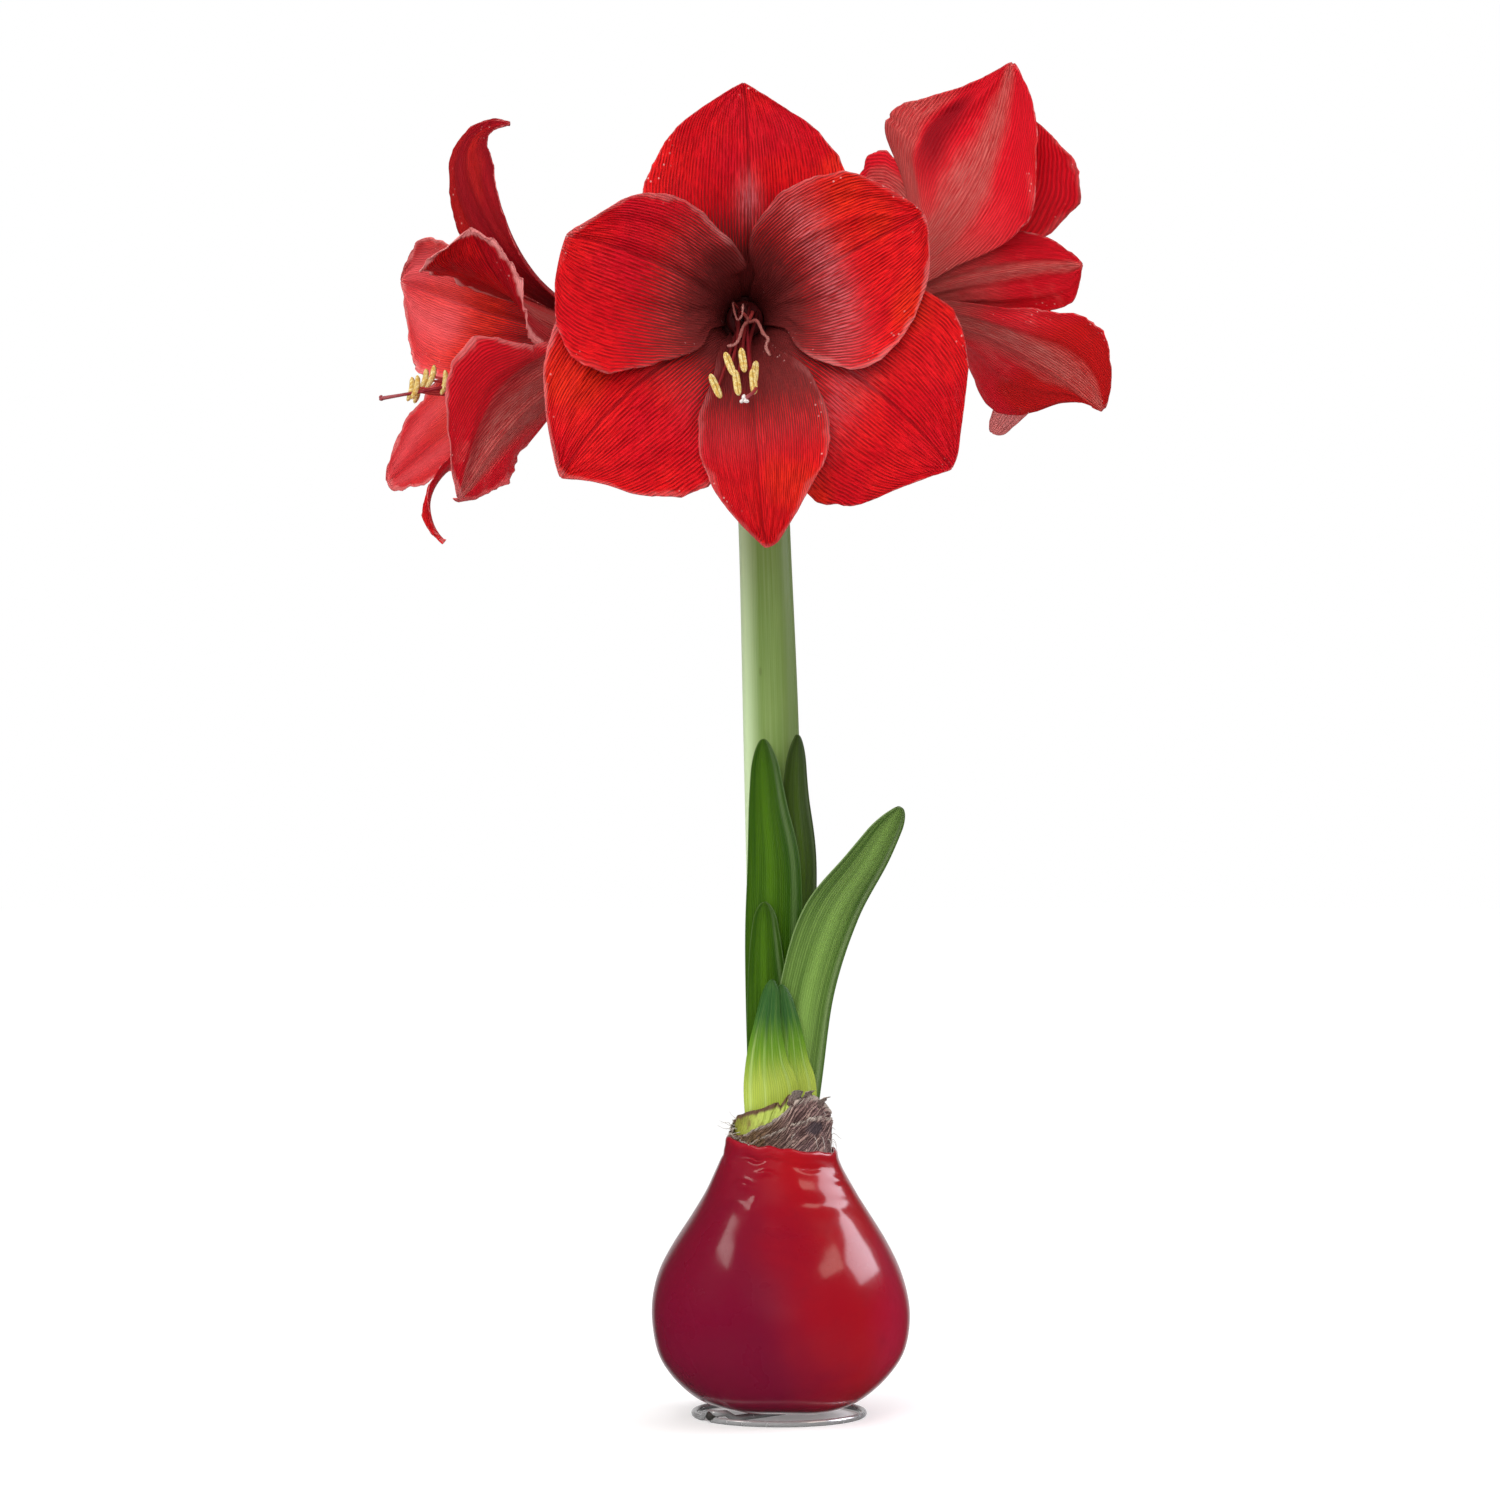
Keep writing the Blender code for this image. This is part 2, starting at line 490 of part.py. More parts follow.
def pedicel_line(bloom, count):
    """From the scape's head, up and over, to the middle of the bloom's throat."""
    faces, _, _ = bloom_axes(bloom)
    throat = MM * np.array(bloom.throat)
    head = SCAPE_PATH[-1]
    upward = unit(head - spline(SCAPE_PATH, SCAPE_ROWS)[-2])
    turn = radians(bloom.foot)
    aside = np.array([cos(turn), sin(turn), 0])
    aside = unit(aside - upward * (aside @ upward))
    foot = head + aside * PEDICEL_SPREAD + upward * (CLEAR + 0.05 * MM)
    rise = upward * 22 * MM
    back = faces * 30 * MM
    t = np.linspace(0, 1, count)[:, None]
    start = (1 - t) ** 2 * ((1 + 2 * t) * foot + 3 * t * rise)
    return start + t**2 * (3 * (1 - t) * (throat - back) + t * throat)


def pedicel(bloom):
    """Pedicel, ovary and perianth tube, grown as one, with a cup that the tepals stand in."""
    fine = pedicel_line(bloom, 200)
    steps = np.linalg.norm(np.diff(fine, axis=0), axis=1)
    left = np.concatenate([[0], np.cumsum(steps)])
    left = left[-1] - left  # what is left to go to the throat
    whole, stem_ends = left[0], TUBE_STATIONS[-1, 0]
    stem = np.concatenate([[whole, whole - 1.5 * MM], np.linspace(whole, stem_ends, 5)[1:-1]])
    stem_radii = np.interp(stem, [stem_ends, whole - 5 * MM, whole], MM * np.array([3.7, 3.6, 4.2]))
    places = np.concatenate([stem, TUBE_STATIONS[::-1, 0]])
    radii = np.concatenate([stem_radii, TUBE_STATIONS[::-1, 1]])
    path = np.stack([np.interp(-places, -left, fine[:, k]) for k in range(3)], -1)
    path[0] = fine[0]
    faces, _, right = bloom_axes(bloom)
    rings = rings_along(path, radii, PEDICEL_SIDES, right)
    end = rings[-1]
    middle = end.mean(0)
    lip = middle + (end - middle) * (TUBE_RADIUS - TUBE_WALL) / TUBE_RADIUS
    floor = middle + (end - middle) * (TUBE_RADIUS - 1.6 * TUBE_WALL) / TUBE_RADIUS - faces * TUBE_CUP
    return finish(loft(bloom.name + "_pedicel", [*rings, lip, floor]), SCAPE_GREEN, 0.5)


def side_line(foot, halves, s):
    """Half a tepal's width on one side at s, with the corners of its measurements eased."""
    fine = np.linspace(-0.1, 1.1, 241)
    line = np.interp(fine, SIDE_AT, MM * np.array([foot / MM, *halves]))
    eased = np.convolve(np.pad(line, 6, "edge"), np.ones(13) / 13, "valid")
    return np.interp(s, fine, eased)


def tepal_grid(bloom, tepal, rows, columns):
    """The middle surface of one tepal: on the funnel of its whorl, then shaped by its own values."""
    faces, up, right = bloom_axes(bloom)
    outer = tepal.place in ("top", "lower_right", "lower_left")
    fine = np.linspace(0, 1, 201)
    slope = np.radians(spline(tepal.flare, 201))
    step = tepal.length * MM / 200
    start = OUTER_FOOT if outer else INNER_FOOT
    out = start + np.concatenate([[0], np.cumsum(np.sin((slope[1:] + slope[:-1]) / 2) * step)])
    ahead = CLEAR - TUBE_CUP + np.concatenate([[0], np.cumsum(np.cos((slope[1:] + slope[:-1]) / 2) * step)])
    s = np.linspace(0, 1, rows)
    slope, out, ahead = (np.interp(s, fine, values)[:, None] for values in (slope, out, ahead))
    s = s[:, None]
    v = np.linspace(-1, 1, columns)[None, :]

    widest = 0.58
    foot = start * (0.98 if outer else 0.96)
    rise = foot + (tepal.width / 2 * MM - foot) * smooth_step(s / widest) ** 0.8
    taper = np.clip((s - widest) / (1 - widest), 0, 1)
    half = rise * (1 - taper**2) ** tepal.tip
    sides = SIDES.get((bloom.name, tepal.place))
    if sides:
        half = np.where(v < 0, side_line(foot, sides[0], s), side_line(foot, sides[1], s))
    room = out * (1 + 3 * smooth_step((s - 0.25) / 0.3))  # what its two neighbours in the whorl leave
    half = np.maximum((np.maximum(half, 0.1 * MM)**-4.0 + room**-4.0) ** -0.25, 0.7 * MM)

    clock = np.radians(tepal.clock + tepal.sway * s**2)
    radial = up * np.cos(clock)[..., None] + right * np.sin(clock)[..., None]
    across = right * np.cos(clock)[..., None] - up * np.sin(clock)[..., None]
    inward = faces * np.sin(slope)[..., None] - radial * np.cos(slope)[..., None]
    twist = np.radians(tepal.twist) * s**2
    across, inward = (
        across * np.cos(twist)[..., None] + inward * np.sin(twist)[..., None],
        inward * np.cos(twist)[..., None] - across * np.sin(twist)[..., None],
    )
    round_it = np.cos(slope) / out + tepal.cup * smooth_step(s * 2)
    angle = half * v * round_it
    flat = np.abs(round_it) < 1
    safe = np.where(flat, 1, round_it)
    aside = np.where(flat, half * v, np.sin(angle) / safe)
    lift = np.where(flat, 0, (1 - np.cos(angle)) / safe)
    waves = tepal.wave * MM * smooth_step((s - 0.3) / 0.3) * np.abs(v) ** 2.5
    lift = lift + waves * np.sin(13 * s + tepal.phase + np.where(v < 0, 1.9, 0))
    middle = faces * ahead[..., None] + radial * out[..., None]
    return MM * np.array(bloom.throat) + middle + across * aside[..., None] + inward * lift[..., None]


def tepal_blade(bloom, tepal):
    grid = tepal_grid(bloom, tepal, TEPAL_ROWS, TEPAL_COLUMNS)
    made = blade(f"{bloom.name}_tepal_{tepal.place}", grid, TEPAL_THICKNESS, 0.8)
    return finish(made, TEPAL_RED, 0.45)


def joined(name, pieces, colour):
    """Several overlapping bodies as one, by a single Boolean union."""
    first, rest = pieces[0], pieces[1:]
    group = bpy.data.collections.new(name + "_rest")
    bpy.context.scene.collection.children.link(group)
    for piece in rest:
        bpy.context.scene.collection.objects.unlink(piece)
        group.objects.link(piece)
    union = first.modifiers.new("union", "BOOLEAN")
    union.operation = "UNION"
    union.operand_type = "COLLECTION"
    union.collection = group
    union.solver = "EXACT"
    apply_modifiers(first)
    for piece in rest:
        bpy.data.objects.remove(piece)
    bpy.data.collections.remove(group)
    first.name = name
    return finish(first, colour, 0.5)


def stamen_line(bloom, stamen, count):
    """A filament's middle line: out of the throat, down along the lower tepals, and up at its end."""
    faces, up, right = bloom_axes(bloom)
    clock, reach, aside, drop = stamen * np.array([1, bloom.poise[0], 1, bloom.poise[1]])
    foot = 3.9 * MM * (up * cos(radians(clock)) + right * sin(radians(clock)))
    controls = [
        foot + faces * -3.6 * MM,
        foot + faces * 6 * MM,
        faces * 0.45 * reach * MM + right * aside * 0.5 * MM + up * (drop * 0.5) * MM,
        faces * 0.8 * reach * MM + right * aside * 0.9 * MM + up * (drop * 0.96 - 1) * MM,
        faces * reach * MM + right * aside * MM + up * drop * MM,
    ]
    return MM * np.array(bloom.throat) + spline(controls, count)


def anther_rings(bloom, stamen, middle, sides):
    """A pollen-coated anther, slung across the end of its filament."""
    faces, up, right = bloom_axes(bloom)
    lean = unit(up + right * 0.03 * stamen[2] - faces * 0.25)
    places = np.array([-1, -0.75, 0.75, 1])
    radii = ANTHER_RADIUS * np.array([0.4, 1.0, 1.0, 0.4])
    bow = faces * 0.8 * MM
    path = [middle + lean * p * ANTHER_LENGTH / 2 - bow * (1 - p * p) for p in places]
    return rings_along(path, radii, sides, right)


def stamens(bloom):
    faces, up, right = bloom_axes(bloom)
    floor = MM * np.array(bloom.throat) + faces * (CLEAR - TUBE_CUP + 0.2 * MM)
    pieces = [loft("throat_floor", rings_along([floor, floor + faces * 3 * MM], 5.8 * MM, 12, up))]
    for number, stamen in enumerate(STAMENS):
        line = stamen_line(bloom, stamen, 7)
        radii = FILAMENT_RADIUS * np.array([1.5, 1.3, 1.1, 1.0, 0.95, 0.9, 0.8])
        pieces.append(loft(f"filament_{number}", rings_along(line, radii, 4, up)))
        pieces.append(loft(f"anther_{number}", anther_rings(bloom, stamen, line[-1], 5)))
    return joined(bloom.name + "_stamens", pieces, FILAMENT_RED)


def style(bloom):
    """The style, with the three lobes of its stigma as a blunt head."""
    faces, up, right = bloom_axes(bloom)
    controls = [
        faces * -1.0 * MM,
        faces * 8 * MM - up * 0.9 * MM,
        faces * 0.5 * STYLE_REACH - up * 0.72 * STYLE_DROP - right * 0.6 * MM,
        faces * 0.8 * STYLE_REACH - up * 1.12 * STYLE_DROP + right * 0.4 * MM,
        faces * STYLE_REACH - up * STYLE_DROP,
    ]
    controls = np.array(controls)
    for share, way in zip(bloom.poise, (faces, up)):
        controls += np.outer(controls @ way * (share - 1), way)
    line = MM * np.array(bloom.throat) + spline(controls, 10)
    radii = np.append(np.full(8, 0.85), [1.3, 1.5]) * MM
    return finish(loft(bloom.name + "_style", rings_along(line, radii, 6, up)), STYLE_RED, 0.4)


def clear_scene():
    for old in list(bpy.data.objects):
        bpy.data.objects.remove(old)


def main():
    clear_scene()
    wire_stand()
    hole = spike_hole()
    wax_coat(hole)
    bulb(hole)
    neck_sheath()
    scape()
    for leaf in LEAVES:
        leaf_blade(leaf)
    spathe_valve("spathe_valve_left", 200)
    spathe_valve("spathe_valve_right", 20)
    for bloom in BLOOMS:
        pedicel(bloom)
        for tepal in bloom.tepals:
            tepal_blade(bloom, tepal)
        stamens(bloom)
        style(bloom)


main()
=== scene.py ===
"""A waxed amaryllis bulb in flower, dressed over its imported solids.

Every length is in metres in the part's own frame: the origin is the middle of the wire ring, on the
surface that it stands on, +Z is up and the first bloom faces -Y. Nearly every piece starts as a flat
grid that is laid on its surface row by row, so its UV map runs across and along it as fibres do.
"""

from collections import namedtuple
from math import asin, cos, pi, radians, sin

import bpy
import numpy as np
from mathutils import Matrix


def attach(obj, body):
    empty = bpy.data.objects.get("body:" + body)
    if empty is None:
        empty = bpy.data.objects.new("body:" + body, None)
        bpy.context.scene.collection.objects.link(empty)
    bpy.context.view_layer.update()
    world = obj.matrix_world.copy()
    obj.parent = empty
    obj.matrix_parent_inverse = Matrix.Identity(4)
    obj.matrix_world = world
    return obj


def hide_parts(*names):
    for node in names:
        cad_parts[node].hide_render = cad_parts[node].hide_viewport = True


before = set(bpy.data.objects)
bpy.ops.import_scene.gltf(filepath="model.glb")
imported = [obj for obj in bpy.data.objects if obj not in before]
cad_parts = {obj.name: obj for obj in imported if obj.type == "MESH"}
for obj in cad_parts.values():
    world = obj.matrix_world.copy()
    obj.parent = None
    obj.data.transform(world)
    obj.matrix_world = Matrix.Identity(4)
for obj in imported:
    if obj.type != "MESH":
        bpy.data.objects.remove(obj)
bpy.ops.object.select_all(action="DESELECT")
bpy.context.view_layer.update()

MM = 0.001

# The camera looks along +Y, and its picture is this many points wide and high.
CAMERA = (-0.0109, -1.8, 0.2495)
SENSOR, LENS = 36, 115.2
PICTURE = 1500


class Nodes:
    """A tree of nodes. Each helper adds one node and returns its result."""

    def __init__(self, tree):
        self.tree = tree

    def node(self, kind, inputs, **settings):
        """A node of a kind, with its inputs linked to results or set to values."""
        made = self.tree.nodes.new("ShaderNode" + kind)
        for word, value in settings.items():
            setattr(made, word, value)
        for socket, value in inputs.items():
            if isinstance(value, bpy.types.NodeSocket):
                self.tree.links.new(value, made.inputs[socket])
            else:
                made.inputs[socket].default_value = value
        return made

    def math(self, operation, *values, **settings):
        return self.node("Math", dict(enumerate(values)), operation=operation, **settings).outputs[0]

    def rise(self, value, low, high, least=0.0, most=1.0):
        """From least to most as value goes from low to high, eased at both ends."""
        inputs = {"Value": value, "From Min": low, "From Max": high, "To Min": least, "To Max": most}
        return self.node("MapRange", inputs, interpolation_type="SMOOTHSTEP").outputs[0]


# ---- camera, light and floor ----
def photo_camera():
    bpy.ops.object.camera_add(location=CAMERA, rotation=(pi / 2, 0, 0))
    camera = bpy.context.object
    camera.name = "photo_camera"
    camera.data.sensor_width = SENSOR
    camera.data.lens = LENS
    bpy.context.scene.camera = camera


def seen_at(px, py, y):
    """The place at depth y that shows at a point of the picture."""
    step = (y - CAMERA[1]) * SENSOR / LENS / PICTURE
    return np.array([CAMERA[0] + (px - PICTURE / 2) * step, y, CAMERA[2] - (py - PICTURE / 2) * step])


def soft_light(name, place, aim, size, watts, tint=(1, 1, 1), gloss=True):
    """A rectangular soft box at a place, turned to its aim."""
    bpy.ops.object.light_add(type="AREA", location=place)
    lamp = bpy.context.object
    lamp.name = name
    lamp.data.shape = "RECTANGLE"
    lamp.data.size, lamp.data.size_y = size
    lamp.data.energy = watts
    lamp.data.color = tint
    way = lamp.location.copy()
    way.x, way.y, way.z = aim[0] - place[0], aim[1] - place[1], aim[2] - place[2]
    lamp.rotation_euler = way.to_track_quat("-Z", "Y").to_euler()
    lamp.visible_glossy = gloss


def surround():
    """A white surround that mirrors only faintly, but for its back."""
    bpy.context.scene.view_settings.view_transform = "Standard"
    world = bpy.data.worlds.new("pale_studio")
    world.use_nodes = True
    backing = world.node_tree.nodes["Background"]
    backing.inputs["Color"].default_value = (1, 1, 1, 1)
    sky = Nodes(world.node_tree)
    rays = sky.node("LightPath", {}).outputs
    split = sky.node("SeparateXYZ", {0: sky.node("TexCoord", {}).outputs["Generated"]})
    behind = sky.rise(split.outputs["Y"], 0.84, 0.98, 0, 0.5)
    strength = 0.6
    for kind, change in (("Is Glossy Ray", -0.57), ("Is Camera Ray", 0.4), ("Is Glossy Ray", behind)):
        strength = sky.math("MULTIPLY_ADD", rays[kind], change, strength)
    sky.tree.links.new(strength, backing.inputs["Strength"])
    bpy.context.scene.world = world


def lamps():
    """The windows that show in the wax, and soft boxes that don't."""
    bulb = (0.01, -0.02, 0.07)
    soft_light("window_right", (1.03, 0.2, 0.66), bulb, (0.8, 0.5), 6.8, (0.92, 0.9, 1))
    soft_light("window_beside", (0.8, -0.48, 0.92), bulb, (0.5, 0.26), 1.1, (1, 0.82, 0.7))
    soft_light("window_left", (-0.79, -0.31, 0.92), bulb, (0.4, 0.22), 0.9, (1, 0.93, 0.88))
    soft_light("key", (-0.6, -2.2, 1.6), (0, 0, 0.3), (1.8, 1.8), 34, (1, 0.98, 0.96), False)
    soft_light("front_fill", (0.1, -2.7, 0.5), (0, 0, 0.35), (1.6, 1.2), 20, (1, 0.99, 0.98), False)
    soft_light("left_fill", (-1.6, -0.5, 0.8), (0, 0, 0.3), (1.2, 1.2), 11, (1, 1, 1), False)
    soft_light("back_fill", (0.3, 1.8, 1.2), (0, 0, 0.3), (1.6, 1.2), 14, (1, 1, 1), False)


def pale_floor():
    """A floor that takes the plant's shadow and fades to white farther out."""
    bpy.ops.mesh.primitive_plane_add(size=9, location=(0, 1.2, 0))
    floor = bpy.context.object
    floor.name = "studio_floor"
    floor.visible_glossy = False
    pale = Finish("pale_floor", Roughness=0.9, Specular_IOR_Level=0.1, Emission_Color=(1, 1, 1, 1))
    far = pale.rise(pale.node("VectorMath", {0: pale.object_places, 1: (0, -1.2, 0)},
                              operation="DISTANCE").outputs["Value"], 0.05, 0.55)
    seen = pale.node("LightPath", {}).outputs["Is Camera Ray"]
    glow = pale.rise(pale.times(far, seen), 0, 1, 0.2, 1)
    floor.data.materials.append(
        pale.give(Base_Color=pale.blend(far, (0.85, 0.85, 0.85), (0.01, 0.01, 0.01)), Emission_Strength=glow)
    )
    bpy.ops.object.select_all(action="DESELECT")


# ---- curves and surfaces ----
def spline(controls, count):
    """count points, evenly spaced by parameter, on the smooth curve through the controls."""
    knots = np.array(controls, float)
    ends = np.concatenate([2 * knots[:1] - knots[1:2], knots, 2 * knots[-1:] - knots[-2:-1]])
    places = np.linspace(0, len(knots) - 1, count)
    spans = np.minimum(places.astype(int), len(knots) - 2)
    t = (places - spans).reshape((-1,) + (1,) * (knots.ndim - 1))
    before, start, end, after = (ends[spans + k] for k in range(4))
    square, cube = 2 * before - 5 * start + 4 * end - after, 3 * (start - end) + after - before
    return start + 0.5 * t * (end - before + t * (square + t * cube))


def unit(vector):
    vector = np.array(vector, float)
    return vector / np.linalg.norm(vector, axis=-1, keepdims=True)


def smooth_step(value):
    """From 0 to 1 as value does, eased at both ends."""
    value = np.clip(value, 0, 1)
    return value * value * (3 - 2 * value)


def hill(value, middle, width):
    """1 at the middle, and next to nothing two widths away."""
    return np.exp(-(((value - middle) / width) ** 2))


def wander(value, seed, waves=5, first=1.0):
    """A smooth wavering line between about -1 and 1, the same on every run."""
    draw = np.random.default_rng(seed)
    total = 0 * np.asarray(value, float)
    for k in range(waves):
        share = 0.72**k
        total = total + share * np.sin(first * 1.61**k * value + draw.uniform(0, 2 * pi))
    return total / 2.2


def round_wander(turn, seed, waves=7):
    """The same, but meeting itself after a whole turn."""
    draw = np.random.default_rng(seed)
    total = 0 * np.asarray(turn, float)
    for k in range(1, waves + 1):
        total = total + draw.uniform(0.4, 1) / k**0.6 * np.sin(k * turn + draw.uniform(0, 2 * pi))
    return total / 2.6


def running(steps):
    """The sum of the steps so far, from 0."""
    return np.concatenate([[0], np.cumsum(steps)])


def read_off(wanted, marks, table):
    """Each column of a table, read where its marks reach what is wanted."""
    return np.stack([np.interp(wanted, marks, column) for column in table.T], -1)


def heading(degrees, deeper=1):
    """The level way at a turn, drawn out from front to back where it is deeper."""
    return np.array([cos(radians(degrees)), sin(radians(degrees)) * deeper, 0])


def swung(way, towards, angles):
    """A way swung towards another that lies square to it, for each angle."""
    return way * np.cos(angles)[..., None] + towards * np.sin(angles)[..., None]


def frames_along(path, first_side):
    """At each point of a path, two directions across it that turn with it and don't spin round it."""
    path = np.array(path, float)
    along = unit(np.gradient(path, axis=0))
    side = np.array(first_side, float)
    sides = []
    for direction in along:
        side = unit(side - direction * (side @ direction))
        sides.append(side)
    sides = np.array(sides)
    return sides, np.cross(along, sides)


def both_ways(rows, columns):
    """Along a sheet from 0 to 1, and across it from -1 to 1."""
    return np.linspace(0, 1, rows)[:, None], np.linspace(-1, 1, columns)[None, :]


def sheet(name, places, uv=None, **notes):
    """A grid laid on its places, one for each row and column, with numbers noted at its points."""
    rows, columns = places.shape[:2]
    bpy.ops.mesh.primitive_grid_add(x_subdivisions=columns - 1, y_subdivisions=rows - 1, size=1)
    piece = bpy.context.object
    piece.name = piece.data.name = name
    mesh = piece.data
    flat = np.empty(3 * len(mesh.vertices))
    mesh.vertices.foreach_get("co", flat)
    flat = flat.reshape(-1, 3) + 0.5
    column = np.rint(flat[:, 0] * (columns - 1)).astype(int)
    row = np.rint(flat[:, 1] * (rows - 1)).astype(int)
    mesh.vertices.foreach_set("co", places[row, column].ravel())
    for word, values in notes.items():
        values = np.broadcast_to(values, (rows, columns))[row, column]
        note = mesh.attributes.new(word, "FLOAT", "POINT")
        note.data.foreach_set("value", values.astype(np.float32))
    mesh.uv_layers[0].name = "surface"
    if uv is not None:
        corner = np.empty(len(mesh.loops), int)
        mesh.loops.foreach_get("vertex_index", corner)
        values = np.stack([np.broadcast_to(part, (rows, columns))[row, column] for part in uv], -1)
        mesh.uv_layers[0].uv.foreach_set("vector", values[corner].astype(np.float32).ravel())
    mesh.update()
    bpy.ops.object.select_all(action="DESELECT")
    return piece


def work_on(piece):
    bpy.ops.object.select_all(action="DESELECT")
    piece.select_set(True)
    bpy.context.view_layer.objects.active = piece


def apply_modifiers(piece):
    work_on(piece)
    for modifier in list(piece.modifiers):
        bpy.ops.object.modifier_apply(modifier=modifier.name)
    piece.select_set(False)


def close_seams(piece):
    """Merges the points where a rolled grid meets itself and where its rows shrink to a pole."""
    work_on(piece)
    bpy.ops.object.mode_set(mode="EDIT")
    bpy.ops.mesh.select_all(action="SELECT")
    bpy.ops.mesh.remove_doubles(threshold=1e-6)
    bpy.ops.mesh.normals_make_consistent(inside=False)
    bpy.ops.mesh.select_all(action="DESELECT")
    bpy.ops.object.mode_set(mode="OBJECT")
    piece.select_set(False)
    return piece


def thicken(piece, thickness, margin_share=1.0):
    """Gives a sheet its wall. Points noted thin=1 keep margin_share of it. Notes back=1 on the new side."""
    mesh = piece.data
    count = len(mesh.vertices)
    solid = piece.modifiers.new("wall", "SOLIDIFY")
    solid.thickness = thickness
    solid.offset = 0
    solid.use_rim = True
    if "thin" in mesh.attributes:
        thin = np.empty(count, np.float32)
        mesh.attributes["thin"].data.foreach_get("value", thin)
        group = piece.vertex_groups.new(name="wall")
        for level in np.unique(np.round(thin, 2)):
            chosen = np.flatnonzero(np.round(thin, 2) == level)
            group.add([int(k) for k in chosen], float(1 - level), "REPLACE")
        solid.vertex_group = "wall"
        solid.thickness_vertex_group = margin_share
    apply_modifiers(piece)
    back = np.zeros(len(piece.data.vertices), np.float32)
    back[count : 2 * count] = 1
    note = piece.data.attributes.new("back", "FLOAT", "POINT")
    note.data.foreach_set("value", back)
    return piece


def rings_along(path, sides, turns, radii):
    """A ring across the path at each of its points."""
    side, other = (way[:, None] for way in sides)
    return path[:, None] + swung(side, other, turns[None, :]) * radii[..., None]


def tube_places(path, radii, around, first_side=(0, 0, 1), shape=None):
    """Rings across a path, rolled shut, with each end drawn in to a pole."""
    path = np.array(path, float)
    turns = np.linspace(0, 2 * pi, around + 1)
    radii = np.broadcast_to(np.array(radii, float), len(path))[:, None] * np.ones(around + 1)
    if shape is not None:
        radii = radii * shape(np.linspace(0, 1, len(path))[:, None], turns[None, :])
    rings = rings_along(path, frames_along(path, first_side), turns, radii)
    rings[:, -1] = rings[:, 0]
    foot, head = rings[0].mean(0), rings[-1].mean(0)
    return np.concatenate([foot + 0 * rings[:1], rings, head + 0 * rings[-1:]])


def tube(name, path, radii, around, first_side=(0, 0, 1), shape=None, **notes):
    """A closed tube along a path. A note may have one value, or one for each point of the path."""
    for word, values in notes.items():
        if np.ndim(values) == 1:
            notes[word] = np.pad(values, 1, "edge")[:, None]
    return close_seams(sheet(name, tube_places(path, radii, around, first_side, shape), **notes))


def joined(name, pieces):
    """Several parts of one thing as one mesh."""
    work_on(pieces[0])
    for piece in pieces:
        piece.select_set(True)
    bpy.ops.object.join()
    pieces[0].name = pieces[0].data.name = name
    bpy.ops.object.select_all(action="DESELECT")
    return pieces[0]


def dress(piece, material, node):
    """The last step of a piece: its finish, its body, and the solid that it stands for, if any."""
    piece.data.materials.clear()
    piece.data.materials.append(material)
    piece.data.shade_smooth()
    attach(piece, "root")
    if node:
        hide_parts(node)
    return piece


